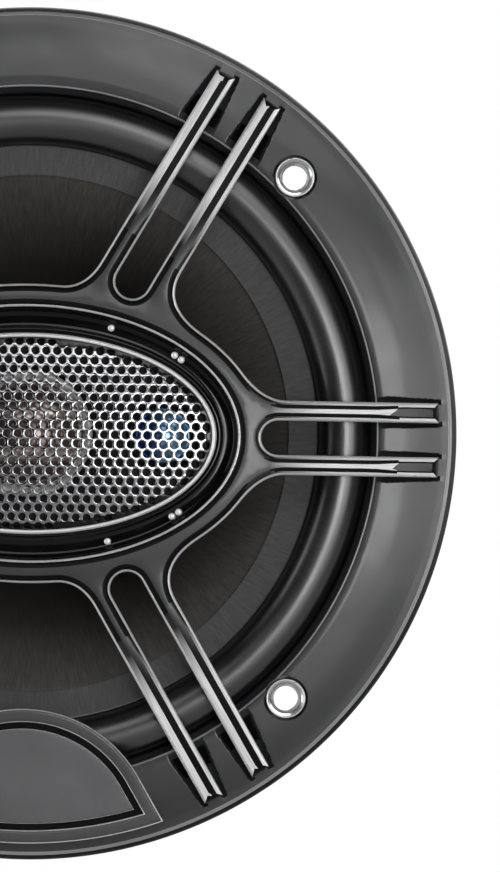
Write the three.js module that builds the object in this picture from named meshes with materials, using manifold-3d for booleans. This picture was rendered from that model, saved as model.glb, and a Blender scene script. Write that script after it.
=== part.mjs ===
// A 6.5 inch (165 mm) four-way coaxial car speaker with a bridged front grille.
//
// Units are millimetres. The parts are modelled in the speaker's own frame: x to the right and y up as the
// listener sees it, z towards the listener, and z = 0 at the plane where the gasket meets the door panel.
// The exported group turns that frame so that +Z is up and the speaker faces -Y.

import * as THREE from "three";
import { mergeVertices } from "three/addons/utils/BufferGeometryUtils.js";
import Module from "manifold-3d";

const wasm = await Module();
wasm.setup();

// ---------------------------------------------------------------- driving dimensions

const GAP = 0.15; // between two pieces that touch
const ROUND = { large: 40, medium: 30, small: 16 }; // sides of a round piece

const RING = { outerR: 90, openingR: 72.6, innerTop: 8.6, outerTop: 6.5, back: 3.0, skirt: 1.0 };
const SCREW = { circleR: 77.6, holeR: 2.6, seatR: 4.4, seatZ: 5.0, angles: [45, 135, 225, 315] };
const GASKET = { innerR: 73.2, outerR: 82.2, thickness: 1.5 };
const SHEET = 1.2; // steel of the basket
const FLANGE = { outerR: 82.5, back: GASKET.thickness + GAP };

// The bridge: an oval hub with six pairs of bars that stand on the trim ring.
const HUB = { a: 49.4, b: 31.4, openingA: 43.9, openingB: 26.6, top: 17.5, thickness: 3.4, lipDepth: 2.6 };
const BAR = { width: 4.2, halfSpacing: 5.7, endR: 86.5 };
const PAIR_OFFSET = 2.25; // how far the diagonal pairs lean towards the hub's long axis
const SLOT_START = { side: 48.7, diagonal: 34.9 };
const FILLET = { sideT: 25.7, sideU: 54, lowT: 43.2, lowU: 45.5, topT: 82.8, topU: 38.8 };

const BEZEL = {
  a: HUB.openingA - 0.3,
  b: HUB.openingB - 0.3,
  innerA: 39.65,
  innerB: 21.4,
  top: 14.8,
  bottom: 11.6,
};
const LEDGE = { a: 37.2, b: 19.0, top: 12.9 }; // of the bezel, under the screen's rim
const SCREEN = { a: BEZEL.innerA - 0.25, b: BEZEL.innerB - 0.25, rim: 13.85, crown: 16.4, thickness: 0.7 };

const BADGE = {
  bottomR: 86.4,
  archR: 27.9,
  archY: -85.7,
  flank: 60,
  band: 2.8,
  gap: 1.2,
  recess: 1.2,
  thickness: 2.3,
};
const BADGE_LEAN = { degrees: 9, y: -72, top: 12.4 }; // its face falls outwards through this height at y

const CONE = { edgeR: 60.2, creaseR: 54.2, neckR: 12.95, thickness: 0.7 };
const SURROUND = {
  lipR: 74.6,
  outerR: 71.9,
  innerR: 60.6,
  bondR: 54.6,
  base: 3.0,
  thickness: 0.8,
  rise: 4.6,
};

const COIL = { formerR: 12.55, formerWall: 0.2, wireR: 13.35, bottom: -39, wireTop: -30, top: -14.6 };
const SPIDER = {
  innerR: 12.9,
  outerR: 43,
  startR: 15.6,
  endR: 36.6,
  waves: 4,
  height: 1.1,
  z: -21.75,
  thickness: 0.5,
};
const MOTOR = { plateR: 37, magnetR: 40, gapR: 13.9, poleR: 11.9, boreR: 5.2, magnetHoleR: 18 };
const MOTOR_Z = { front: -32, plateBack: -37, magnetBack: -52.15, back: -58.3 };
const POST = { outerR: 5, boreR: 2.6, flangeR: 9, top: 2.0, flange: 1.6, end: -56.0 };
const NUT = { recessR: 9, recessFloor: -53.3, acrossCorners: 15, height: 2.3 };

const POD = { a: 38.6, b: 20.4, top: 10.0, bottom: 2.2, footA: 34, wall: 1.5 };
const BAFFLE = { thickness: 1.3, z: POD.top + GAP };
const TWEETER = { holeR: 13.5, ringR: 13.1, domeR: 10.3, cupR: 12.7, domeTop: 14.4 };
const SIDE = { x: 28.0, holeR: 7.4, ringR: 7.0, domeR: 5.8, capsuleR: 6.2, domeTop: 12.9 };

const RIVET = { circleR: 26, headR: 2.5, height: 1 };

const TERMINAL_ANGLE = 225; // the basket leg that carries the terminals
const LEAD_R = 0.8;
const TINSEL_R = 0.6;
const GROOVE = { width: 3.6, depth: 2.4 };
const WINDOW = { innerR: 47.5, outerR: 66.5, halfAngle: 31, angles: [0, 90, 180, 270] };

// ---------------------------------------------------------------- finishes

const finish = (color, roughness, metalness) =>
  new THREE.MeshStandardMaterial({ color, roughness, metalness });

const FINISH = {
  satinBlack: finish(0x35363a, 0.42, 0),
  glossBlack: finish(0x0b0b0c, 0.12, 0),
  badgeGrey: finish(0x5b5c5f, 0.4, 0.2),
  meshSteel: finish(0x77777a, 0.35, 0.9),
  foam: finish(0x1b1b1c, 0.95, 0),
  paintedSteel: finish(0x1c1d1f, 0.5, 0.3),
  zincSteel: finish(0x9a9a98, 0.35, 0.95),
  ferrite: finish(0x2b2b2d, 0.75, 0.1),
  rubber: finish(0x141415, 0.4, 0),
  poly: finish(0x303133, 0.55, 0),
  cloth: finish(0xb08a4a, 0.85, 0),
  kapton: finish(0x8a5a20, 0.4, 0),
  copper: finish(0xb4673a, 0.3, 0.95),
  tinned: finish(0xc9c8c2, 0.3, 0.95),
  phenolic: finish(0x4a2c1a, 0.6, 0),
  roseDome: finish(0xc9a79d, 0.25, 0.3),
  blueDome: finish(0x2f6fd0, 0.25, 0.3),
  insulation: finish(0x151516, 0.5, 0),
  capSleeve: finish(0x20305a, 0.4, 0),
};

// ---------------------------------------------------------------- geometry helpers

const rad = THREE.MathUtils.degToRad;
const polar = (r, degrees) => new THREE.Vector2(r * Math.cos(rad(degrees)), r * Math.sin(rad(degrees)));

// A closed [radius, z] profile turned about the speaker's axis. Points may run either way round.
function revolve(profile, sides) {
  const points = profile.map(([r, z]) => new THREE.Vector2(r, z));
  if (THREE.ShapeUtils.area(points) < 0) points.reverse();
  points.push(points[0]);
  return new THREE.LatheGeometry(points, sides).rotateX(Math.PI / 2);
}

// The same, squeezed in y: a round piece of radius a becomes an oval of a by b.
const revolveOval = (profile, sides, a, b) => revolve(profile, sides).scale(1, b / a, 1);

function prism(shape, z0, z1, curveSegments = 8) {
  const options = { depth: z1 - z0, bevelEnabled: false, curveSegments };
  return new THREE.ExtrudeGeometry(shape, options).translate(0, 0, z0);
}

const box = (w, h, d, x = 0, y = 0, z = 0) => new THREE.BoxGeometry(w, h, d).translate(x, y, z);

function cylinder(r, z0, z1, sides = ROUND.small) {
  const upright = new THREE.CylinderGeometry(r, r, z1 - z0, sides).rotateX(Math.PI / 2);
  return upright.translate(0, 0, (z0 + z1) / 2);
}

// A round wire or lead along a smooth curve through the points.
function wire(points, radius, steps) {
  const section = new THREE.Shape();
  section.absarc(0, 0, radius, 0, 2 * Math.PI);
  const extrudePath = new THREE.CatmullRomCurve3(points, false, "centripetal");
  return new THREE.ExtrudeGeometry(section, { steps, extrudePath, bevelEnabled: false, curveSegments: 3 });
}

function solidOf(geometry) {
  const bare = geometry.clone();
  bare.deleteAttribute("normal");
  bare.deleteAttribute("uv");
  const merged = mergeVertices(bare, 1e-3);
  const triVerts = new Uint32Array(merged.index.array);
  const vertProperties = merged.attributes.position.array;
  return new wasm.Manifold(new wasm.Mesh({ numProp: 3, vertProperties, triVerts }));
}

function geometryOf(solid) {
  const mesh = solid.getMesh();
  const geometry = new THREE.BufferGeometry();
  geometry.setAttribute("position", new THREE.BufferAttribute(new Float32Array(mesh.vertProperties), 3));
  geometry.setIndex(new THREE.BufferAttribute(new Uint32Array(mesh.triVerts), 1));
  return geometry;
}

const cut = (geometry, ...tools) =>
  geometryOf(tools.reduce((solid, tool) => solid.subtract(solidOf(tool)), solidOf(geometry)));
const join = (...parts) => geometryOf(parts.map(solidOf).reduce((all, part) => all.add(part)));
const common = (a, b) => geometryOf(solidOf(a).intersect(solidOf(b)));

const speaker = new THREE.Group();
speaker.rotation.x = Math.PI / 2;

function add(name, geometry, material, parent = speaker) {
  const mesh = new THREE.Mesh(geometry, material);
  mesh.name = name;
  parent.add(mesh);
  return mesh;
}

const screwHoles = (r, z0, z1) =>
  SCREW.angles.map((angle) => {
    const at = polar(SCREW.circleR, angle);
    return cylinder(r, z0, z1, 16).translate(at.x, at.y, 0);
  });

// ---------------------------------------------------------------- front: trim ring

function trimRing() {
  const lipRebateR = SURROUND.lipR + 0.3;
  const lipRebateZ = SURROUND.base + SURROUND.thickness + 0.4;
  const profile = [
    [RING.openingR, lipRebateZ],
    [RING.openingR, RING.innerTop - 1.6],
    [RING.openingR + 1.6, RING.innerTop],
    [RING.outerR - 1.7, RING.outerTop],
    [RING.outerR - 0.4, RING.outerTop - 0.8],
    [RING.outerR, RING.outerTop - 2.1],
    [RING.outerR, RING.skirt],
    [RING.outerR - 2.4, RING.skirt],
    [RING.outerR - 2.4, RING.back],
    [lipRebateR, RING.back],
    [lipRebateR, lipRebateZ],
  ];
  return cut(
    revolve(profile, ROUND.large),
    ...screwHoles(SCREW.holeR, 0, 20),
    ...screwHoles(SCREW.seatR, SCREW.seatZ, 20),
  );
}

add("trim_ring", trimRing(), FINISH.satinBlack);

// ---------------------------------------------------------------- front: bridge with hub and bars

// A point at u along a bar pair's direction and v across it, counter-clockwise.
const across = (pair, u, v) => polar(u, pair.angle).add(polar(v, pair.angle + 90));

const hubPoint = (t) => new THREE.Vector2(HUB.a * Math.cos(rad(t)), HUB.b * Math.sin(rad(t)));

// Where the hub's tangent at t meets the bar edge at v: the corner that the fillet rounds.
function filletCorner(pair, t, v) {
  const start = hubPoint(t);
  const tangent = new THREE.Vector2(-HUB.a * Math.sin(rad(t)), HUB.b * Math.cos(rad(t)));
  const normal = polar(1, pair.angle + 90);
  const distance = (v - start.dot(normal)) / tangent.dot(normal);
  return start.addScaledVector(tangent, distance);
}

// before and after are where the fillets leave the hub's oval, and beforeU and afterU where they
// reach the bars.
const sidePair = (angle) => ({
  angle,
  offset: 0,
  slot: SLOT_START.side,
  before: angle - FILLET.sideT,
  after: angle + FILLET.sideT,
  beforeU: FILLET.sideU,
  afterU: FILLET.sideU,
});
const risingPair = (angle, turn) => ({
  angle,
  offset: -PAIR_OFFSET,
  slot: SLOT_START.diagonal,
  before: turn + FILLET.lowT,
  after: turn + FILLET.topT,
  beforeU: FILLET.lowU,
  afterU: FILLET.topU,
});
const fallingPair = (angle, turn) => ({
  angle,
  offset: PAIR_OFFSET,
  slot: SLOT_START.diagonal,
  before: turn + 180 - FILLET.topT,
  after: turn + 180 - FILLET.lowT,
  beforeU: FILLET.topU,
  afterU: FILLET.lowU,
});
const PAIRS = [
  sidePair(0),
  risingPair(60, 0),
  fallingPair(120, 0),
  sidePair(180),
  risingPair(240, 180),
  fallingPair(300, 180),
];

function bridgeOutline() {
  const shape = new THREE.Shape();
  const slotHalf = BAR.halfSpacing - BAR.width / 2;
  const edge = BAR.halfSpacing + BAR.width / 2;
  const beyond = BAR.endR + 4;
  PAIRS.forEach((pair, index) => {
    const line = (u, v) => {
      const p = across(pair, u, v);
      shape.lineTo(p.x, p.y);
    };
    const low = pair.offset - edge;
    const high = pair.offset + edge;
    const first = hubPoint(pair.before);
    if (index === 0) shape.moveTo(first.x, first.y);
    const cornerIn = filletCorner(pair, pair.before, low);
    const barIn = across(pair, pair.beforeU, low);
    shape.quadraticCurveTo(cornerIn.x, cornerIn.y, barIn.x, barIn.y);
    line(beyond, low);
    line(beyond, pair.offset - slotHalf);
    line(pair.slot + slotHalf, pair.offset - slotHalf);
    const centre = across(pair, pair.slot + slotHalf, pair.offset);
    shape.absarc(centre.x, centre.y, slotHalf, rad(pair.angle - 90), rad(pair.angle + 90), true);
    line(beyond, pair.offset + slotHalf);
    line(beyond, high);
    line(pair.afterU, high);
    const cornerOut = filletCorner(pair, pair.after, high);
    const hubOut = hubPoint(pair.after);
    shape.quadraticCurveTo(cornerOut.x, cornerOut.y, hubOut.x, hubOut.y);
    const next = PAIRS[(index + 1) % PAIRS.length];
    const nextT = next.before + (index === PAIRS.length - 1 ? 360 : 0);
    shape.absellipse(0, 0, HUB.a, HUB.b, rad(pair.after), rad(nextT), false);
  });
  return shape;
}

const oval = (a, b) => {
  const path = new THREE.Path();
  path.absellipse(0, 0, a, b, 0, 2 * Math.PI);
  return path;
};

const ringTopAt = (r) =>
  THREE.MathUtils.mapLinear(r, RING.openingR + 1.6, RING.outerR - 1.7, RING.innerTop, RING.outerTop);

function bridge() {
  const footR = RING.openingR + 2;
  const under = HUB.top - HUB.thickness;
  const archedShell = revolve(
    [
      [20, under],
      [47, under],
      [58, under - 0.8],
      [66, under - 1.8],
      [72, under - 2.7],
      [footR, ringTopAt(footR) + 2 * GAP],
      [BAR.endR, ringTopAt(BAR.endR) + 2 * GAP],
      [BAR.endR, 10.6],
      [73, 14.3],
      [66, 15.7],
      [58, 16.8],
      [47, HUB.top],
      [20, HUB.top],
    ],
    ROUND.large,
  );
  const hubAndBars = common(prism(bridgeOutline(), 5, 20, 5), archedShell);
  const lipShape = new THREE.Shape(oval(HUB.openingA + 1.6, HUB.openingB + 1.6).getPoints(20));
  const lip = prism(lipShape, under - HUB.lipDepth, under + 0.5);
  const opening = prism(new THREE.Shape(oval(HUB.openingA, HUB.openingB).getPoints(20)), 5, 20);
  return cut(join(hubAndBars, lip), opening);
}

add("grille_bridge", bridge(), FINISH.satinBlack);

// ---------------------------------------------------------------- front: bezel and perforated screen

function ovalBand(outer, inner, z0, z1) {
  const band = new THREE.Shape(oval(outer.a, outer.b).getPoints(18));
  band.holes.push(new THREE.Path(oval(inner.a, inner.b).getPoints(18)));
  return prism(band, z0, z1);
}

function bezel() {
  const inner = { a: BEZEL.innerA, b: BEZEL.innerB };
  const ledge = ovalBand(BEZEL, LEDGE, BEZEL.bottom, LEDGE.top);
  return join(ledge, ovalBand(BEZEL, inner, LEDGE.top - 0.2, BEZEL.top));
}

add("mesh_bezel", bezel(), FINISH.glossBlack);

const screenFront = [
  [SCREEN.a, SCREEN.rim],
  [SCREEN.a * 0.75, SCREEN.crown - 1],
  [SCREEN.a * 0.4, SCREEN.crown - 0.25],
  [0, SCREEN.crown],
];
const screenBack = screenFront.map(([r, z]) => [r, z - SCREEN.thickness]).reverse();
add(
  "mesh_screen",
  revolveOval([...screenFront, ...screenBack], ROUND.medium, SCREEN.a, SCREEN.b),
  FINISH.meshSteel,
);

// ---------------------------------------------------------------- front: badge

// An arch with straight flanks over the trim ring's own curve, moved inwards by inset.
function badgeOutline(inset) {
  const shape = new THREE.Shape();
  const archR = BADGE.archR - inset;
  const bottomR = BADGE.bottomR - inset;
  const tangentAt = polar(archR, 90 - BADGE.flank).add(new THREE.Vector2(0, BADGE.archY));
  const down = polar(1, -BADGE.flank);
  // distance along the flank to the circle of radius bottomR
  const half = tangentAt.dot(down);
  const reach = -half + Math.sqrt(half * half - tangentAt.lengthSq() + bottomR * bottomR);
  const corner = tangentAt.clone().addScaledVector(down, reach);
  const cornerAngle = Math.atan2(corner.y, corner.x);
  shape.moveTo(corner.x, corner.y);
  shape.absarc(0, BADGE.archY, archR, rad(90 - BADGE.flank), rad(90 + BADGE.flank), false);
  shape.absarc(0, 0, bottomR, -Math.PI - cornerAngle, cornerAngle, false);
  return shape;
}

// A slab of the badge between two depths below its leaning face.
function badgeSlab(inset, depth0, depth1) {
  const slab = prism(badgeOutline(inset), -depth1, -depth0, 5).translate(0, -BADGE_LEAN.y, 0);
  return slab.rotateX(rad(BADGE_LEAN.degrees)).translate(0, BADGE_LEAN.y, BADGE_LEAN.top);
}

function badgeFrame() {
  const foot = RING.openingR + 2;
  const edge = BADGE.bottomR + 2;
  const tongue = badgeSlab(0, 0, BADGE.thickness);
  const overRing = revolve(
    [
      [foot, ringTopAt(foot) + 2 * GAP],
      [edge, ringTopAt(edge) + 2 * GAP],
      [edge, 20],
      [foot, 20],
    ],
    ROUND.large,
  );
  const base = common(badgeSlab(0, 0.5, 12), overRing);
  return cut(join(tongue, base), badgeSlab(BADGE.band, -2, BADGE.recess));
}

const badgePlate = badgeSlab(BADGE.band + BADGE.gap, 0.3, BADGE.recess - GAP);

add("badge_frame", badgeFrame(), FINISH.satinBlack);
add("badge_plate", badgePlate, FINISH.badgeGrey);

// ---------------------------------------------------------------- chassis: gasket and basket

add(
  "mounting_gasket",
  cut(
    revolve(
      [
        [GASKET.innerR, 0],
        [GASKET.outerR, 0],
        [GASKET.outerR, GASKET.thickness],
        [GASKET.innerR, GASKET.thickness],
      ],
      ROUND.large,
    ),
    ...screwHoles(SCREW.holeR + 0.4, -5, 5),
  ),
  FINISH.foam,
);

// Front surface of the stamped sheet from the flange inwards; the back surface lies SHEET behind it.
const flangeFront = FLANGE.back + SHEET;
const motorFace = MOTOR_Z.front + GAP;
const LEG = { outer: [66.5, -8.5], inner: [45, -22.4] };

function basket() {
  const profile = [
    [FLANGE.outerR, flangeFront],
    [71.2, flangeFront],
    [69.4, -5],
    LEG.outer,
    LEG.inner,
    [38.2, LEG.inner[1]],
    [36.2, motorFace + SHEET],
    [15.4, motorFace + SHEET],
    [15.4, motorFace],
    [37.2, motorFace],
    [38.8, LEG.inner[1] - SHEET],
    [45.4, LEG.inner[1] - SHEET],
    [67.4, LEG.outer[1] - 0.9],
    [70.6, -5.4],
    [72.2, FLANGE.back],
    [FLANGE.outerR, FLANGE.back],
  ];
  const windows = WINDOW.angles.map((angle) => {
    const opening = new THREE.Shape();
    const half = WINDOW.halfAngle;
    const corners = [
      polar(WINDOW.innerR, -half + 2),
      polar(WINDOW.outerR, -half),
      polar(WINDOW.outerR, half),
      polar(WINDOW.innerR, half - 2),
    ];
    opening.moveTo(corners[0].x, corners[0].y);
    opening.lineTo(corners[1].x, corners[1].y);
    opening.absarc(0, 0, WINDOW.outerR, rad(-half), rad(half), false);
    opening.lineTo(corners[3].x, corners[3].y);
    opening.absarc(0, 0, WINDOW.innerR, rad(half - 2), rad(-half + 2), true);
    return prism(opening, -30, -2, 5).rotateZ(rad(angle));
  });
  return cut(revolve(profile, ROUND.large), ...windows, ...screwHoles(SCREW.holeR, 0, 5));
}

add("basket", basket(), FINISH.paintedSteel);

WINDOW.angles.forEach((angle, index) => {
  const at = polar(RIVET.circleR, angle);
  const head = cylinder(RIVET.headR, 0, RIVET.height, 10).translate(at.x, at.y, motorFace + SHEET + 0.2);
  add(`basket_rivet_${index + 1}`, head, FINISH.zincSteel);
});

// ---------------------------------------------------------------- woofer: surround, cone, coil, spider

function surround() {
  const { lipR, outerR, innerR, bondR, base, thickness, rise } = SURROUND;
  const middle = (outerR + innerR) / 2;
  const half = (outerR - innerR) / 2;
  const steps = 5;
  const roll = (inset) =>
    Array.from({ length: steps + 1 }, (_, i) => {
      const angle = (Math.PI * i) / steps;
      return [middle + (half - inset) * Math.cos(angle), base + (rise - inset) * Math.sin(angle)];
    });
  const top = roll(-thickness / 2).map(([r, z]) => [r, z + thickness]);
  const under = roll(thickness / 2).reverse();
  const outerLip = [[lipR, base], [lipR, base + thickness]];
  const innerLip = [[bondR, base + thickness], [bondR, base]];
  return revolve([...outerLip, ...top, ...innerLip, ...under], ROUND.large);
}

add("surround", surround(), FINISH.rubber);

// Front surface of the cone from its flat rim down to the neck.
const CONE_FRONT = [
  [CONE.edgeR, SURROUND.base - GAP],
  [CONE.creaseR, SURROUND.base - GAP - 0.3],
  [48, -0.9],
  [38, -6.4],
  [28, -10.9],
  [19, -14.0],
  [CONE.neckR, -15.4],
];

function cone() {
  const back = CONE_FRONT.map(([r, z]) => [r, z - CONE.thickness]).reverse();
  return revolve([...CONE_FRONT, ...back], ROUND.large);
}

add("cone", cone(), FINISH.poly);

const tube = (innerR, outerR, z0, z1, sides) =>
  revolve(
    [
      [innerR, z0],
      [outerR, z0],
      [outerR, z1],
      [innerR, z1],
    ],
    sides,
  );

const formerOuterR = COIL.formerR + COIL.formerWall;
add("coil_former", tube(COIL.formerR, formerOuterR, COIL.bottom, COIL.top, 20), FINISH.kapton);
add("voice_coil", tube(formerOuterR + 0.1, COIL.wireR, COIL.bottom + 0.4, COIL.wireTop, 20), FINISH.copper);

add(
  "dust_ring",
  revolve(
    [
      [6.3, -12.4],
      [12.3, -15.6],
      [12.3, -16.6],
      [6.3, -13.4],
    ],
    24,
  ),
  FINISH.poly,
);

function spider() {
  const { innerR, outerR, startR, endR, waves, height, z, thickness } = SPIDER;
  const turns = Array.from({ length: 2 * waves }, (_, i) => {
    const share = (i + 0.5) / (2 * waves);
    return [startR + (endR - startR) * share, z + (i % 2 ? -height : height)];
  });
  const front = [[innerR + 0.9, z], [startR, z], ...turns, [endR, z], [outerR, z]];
  const back = front.map(([r, h]) => [r, h - thickness]).reverse();
  const collar = [[innerR, z + 1.6], [innerR + 0.5, z + 1.6]];
  return revolve([...collar, ...front, ...back, [innerR, z - thickness]], 26);
}

add("spider", spider(), FINISH.cloth);

// ---------------------------------------------------------------- motor

add(
  "top_plate",
  tube(MOTOR.gapR, MOTOR.plateR, MOTOR_Z.plateBack, MOTOR_Z.front, ROUND.medium),
  FINISH.zincSteel,
);
add(
  "ferrite_magnet",
  tube(MOTOR.magnetHoleR, MOTOR.magnetR, MOTOR_Z.magnetBack, MOTOR_Z.plateBack - GAP, ROUND.medium),
  FINISH.ferrite,
);

function poleYoke() {
  const shoulder = MOTOR_Z.magnetBack - GAP;
  const body = revolve(
    [
      [MOTOR.boreR, MOTOR_Z.back],
      [MOTOR.plateR - 1, MOTOR_Z.back],
      [MOTOR.plateR, MOTOR_Z.back + 1],
      [MOTOR.plateR, shoulder],
      [MOTOR.poleR, shoulder],
      [MOTOR.poleR, MOTOR_Z.front + 0.6],
      [MOTOR.boreR, MOTOR_Z.front + 0.6],
    ],
    ROUND.medium,
  );
  const recess = cylinder(NUT.recessR, MOTOR_Z.back - 1, NUT.recessFloor, 24);
  const groove = box(40, GROOVE.width, GROOVE.depth + 1, 20, 0, MOTOR_Z.back + (GROOVE.depth - 1) / 2);
  return cut(body, recess, groove.rotateZ(rad(TERMINAL_ANGLE)));
}

add("pole_yoke", poleYoke(), FINISH.zincSteel);

// ---------------------------------------------------------------- tweeter post and pod

add(
  "tweeter_post",
  revolve(
    [
      [POST.boreR, POST.end],
      [POST.outerR, POST.end],
      [POST.outerR, POST.top - POST.flange],
      [POST.flangeR, POST.top - POST.flange],
      [POST.flangeR, POST.top],
      [POST.boreR, POST.top],
    ],
    ROUND.small,
  ),
  FINISH.zincSteel,
);

const nutBottom = NUT.recessFloor - 0.2 - NUT.height;
add(
  "post_nut",
  cut(
    cylinder(NUT.acrossCorners / 2, nutBottom, nutBottom + NUT.height, 6),
    cylinder(POST.outerR + 0.1, nutBottom - 1, nutBottom + NUT.height + 1, ROUND.small),
  ),
  FINISH.zincSteel,
);

const wallA = POD.a - POD.wall;
const podProfile = [
  [3.2, POD.bottom],
  [POD.footA, POD.bottom],
  [POD.a, POD.bottom + 5],
  [POD.a, POD.top],
  [wallA, POD.top],
  [wallA, POD.bottom + 5.4],
  [POD.footA - POD.wall, POD.bottom + POD.wall],
  [3.2, POD.bottom + POD.wall],
];
add("pod_housing", revolveOval(podProfile, ROUND.medium, POD.a, POD.b), FINISH.satinBlack);

const SIDES = { left: -1, right: 1 };

function baffle() {
  const plate = new THREE.Shape(oval(POD.a - 0.2, POD.b - 0.2).getPoints(16));
  const hole = (x, r) => new THREE.Path().absarc(x, 0, r, 0, 2 * Math.PI);
  const sideHoles = Object.values(SIDES).map((side) => hole(side * SIDE.x, SIDE.holeR));
  plate.holes.push(hole(0, TWEETER.holeR), ...sideHoles);
  return prism(plate, BAFFLE.z, BAFFLE.z + BAFFLE.thickness, 9);
}

add("tweeter_baffle", baffle(), FINISH.satinBlack);

// A diaphragm: a shallow dome with a flat rim, one thickness all over.
function dome(r, rim, z, top, thickness, sides) {
  const rise = top - z;
  const arc = [0, 0.45, 0.8, 1].map((share) => [r * share, z + rise * Math.sqrt(1 - share * share)]);
  const outside = [...arc, [rim, z]];
  const inside = outside.map(([x, h]) => [x, h - thickness]).reverse();
  return revolve([...outside, ...inside], sides);
}

const frontZ = BAFFLE.z + 0.4; // seat of the three tweeters in the baffle
const faceTop = frontZ + 1.9;

add("tweeter_faceplate", tube(TWEETER.domeR + 1.5, TWEETER.ringR, frontZ, faceTop, 28), FINISH.zincSteel);
add(
  "tweeter_dome",
  dome(TWEETER.domeR - 0.6, TWEETER.domeR + 1.0, frontZ + 0.9, TWEETER.domeTop, 0.3, 24),
  FINISH.roseDome,
);
add("tweeter_coil", tube(9.25, 9.6, 7.4, frontZ + 0.5, 24), FINISH.copper);
add(
  "tweeter_cup",
  cut(cylinder(TWEETER.cupR, 4.2, frontZ - 0.3, 24), cylinder(10.1, 5.4, 20, 24)),
  FINISH.zincSteel,
);
add("tweeter_magnet", cylinder(8.2, 5.6, 7.8, 20), FINISH.ferrite);
add("tweeter_top_plate", cylinder(8.8, 8, 9.7, 20), FINISH.zincSteel);

for (const [name, side] of Object.entries(SIDES)) {
  const unit = new THREE.Group();
  unit.position.x = side * SIDE.x;
  speaker.add(unit);
  const ring = tube(SIDE.domeR + 0.4, SIDE.ringR, frontZ, faceTop - 0.7, 20);
  add(`${name}_supertweeter_ring`, ring, FINISH.satinBlack, unit);
  add(
    `${name}_supertweeter_dome`,
    dome(SIDE.domeR - 0.7, SIDE.domeR, frontZ + 0.6, SIDE.domeTop, 0.25, 18),
    FINISH.blueDome,
    unit,
  );
  add(`${name}_supertweeter_capsule`, cylinder(SIDE.capsuleR, 6.6, frontZ - 0.2, 16), FINISH.ferrite, unit);
  const can = cylinder(2.2, -4, 4, 12).rotateY(Math.PI / 2);
  add(`${name}_capacitor`, can.translate(side * -11.3, 10.4, 6.2), FINISH.capSleeve, unit);
}

// ---------------------------------------------------------------- terminals and leads

// The board lies flat behind a basket leg. In its group x runs around the speaker, y outwards along the leg
// and z backwards, away from the leg.
const legSlope = Math.atan2(LEG.outer[1] - LEG.inner[1], LEG.outer[0] - LEG.inner[0]);
const legMiddle = [(LEG.outer[0] + LEG.inner[0]) / 2, (LEG.outer[1] + LEG.inner[1]) / 2];
const BOARD = { width: 20, height: 14, thickness: 1.6, offset: SHEET + 0.35 };

const around = new THREE.Vector3(0, 1, 0);
const outwards = new THREE.Vector3(Math.cos(legSlope), 0, Math.sin(legSlope));
const backwards = new THREE.Vector3().crossVectors(around, outwards);
const boardFrame = new THREE.Matrix4().makeBasis(around, outwards, backwards);
boardFrame.setPosition(legMiddle[0], 0, legMiddle[1]);
boardFrame.premultiply(new THREE.Matrix4().makeRotationZ(rad(TERMINAL_ANGLE)));

const terminals = new THREE.Group();
terminals.applyMatrix4(boardFrame);
speaker.add(terminals);

const boardBack = BOARD.offset + BOARD.thickness;
add(
  "terminal_board",
  box(BOARD.width, BOARD.height, BOARD.thickness, 0, 0, BOARD.offset + BOARD.thickness / 2),
  FINISH.phenolic,
  terminals,
);

const BLADES = {
  positive: { x: -5.5, width: 4.8, thickness: 0.8 },
  negative: { x: 5.5, width: 2.8, thickness: 0.8 },
};
const BLADE = { foot: 5.2, length: 8 };

for (const [name, blade] of Object.entries(BLADES)) {
  const z = boardBack + GAP;
  const outline = new THREE.Shape();
  outline.moveTo(0, 0);
  outline.lineTo(BLADE.foot, 0);
  outline.lineTo(BLADE.foot, blade.thickness);
  outline.lineTo(blade.thickness, blade.thickness);
  outline.lineTo(blade.thickness, BLADE.length);
  outline.lineTo(0, BLADE.length);
  outline.closePath();
  const tab = prism(outline, -blade.width / 2, blade.width / 2);
  tab.rotateX(Math.PI / 2).translate(blade.x - BLADE.foot / 2, 0, z);
  add(`terminal_${name}`, tab, FINISH.tinned, terminals);
  const head = cylinder(1.1, 0, 0.7, 12).translate(blade.x + 0.6, 0, z + blade.thickness + GAP);
  add(`terminal_${name}_rivet`, head, FINISH.zincSteel, terminals);
}

// Leads in the plane of the terminal leg: r outwards, z forwards and s sideways.
const inLegPlane = ([r, z, s = 0]) =>
  new THREE.Vector3(r, s, z).applyAxisAngle(new THREE.Vector3(0, 0, 1), rad(TERMINAL_ANGLE));

const grooveZ = MOTOR_Z.back + GROOVE.depth / 2;
const LEAD_ROUTE = [
  [0, 3.8],
  [0, -25],
  [0, -54],
  [0.7, -56.2],
  [2.8, grooveZ],
  [12, grooveZ],
  [26, grooveZ],
  [37, grooveZ],
  [40.4, -56.2],
  [41.4, -53],
  [41.4, -44],
  [41.4, -36],
  [42.4, -31.6],
  [45.6, -28],
  [50.2, -24.8],
];
add("tweeter_lead", wire(LEAD_ROUTE.map(inLegPlane), LEAD_R, 46), FINISH.insulation);

const TINSEL_ROUTE = [
  [50.5, -17.6, 6],
  [46, -17.2, 5.6],
  [40, -17.6, 5.2],
  [34, -17.0, 4.8],
  [28.5, -14.9, 4.4],
  [24.5, -13.8, 4],
];
for (const [name, side] of Object.entries({ positive: 1, negative: -1 })) {
  const route = TINSEL_ROUTE.map(([r, z, s]) => inLegPlane([r, z, side * s]));
  add(`tinsel_lead_${name}`, wire(route, TINSEL_R, 14), FINISH.copper);
}

export default speaker;
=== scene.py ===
import math

import bmesh
import bpy
import numpy as np
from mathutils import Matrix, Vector
from mathutils.geometry import delaunay_2d_cdt
from mathutils.kdtree import KDTree


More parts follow.
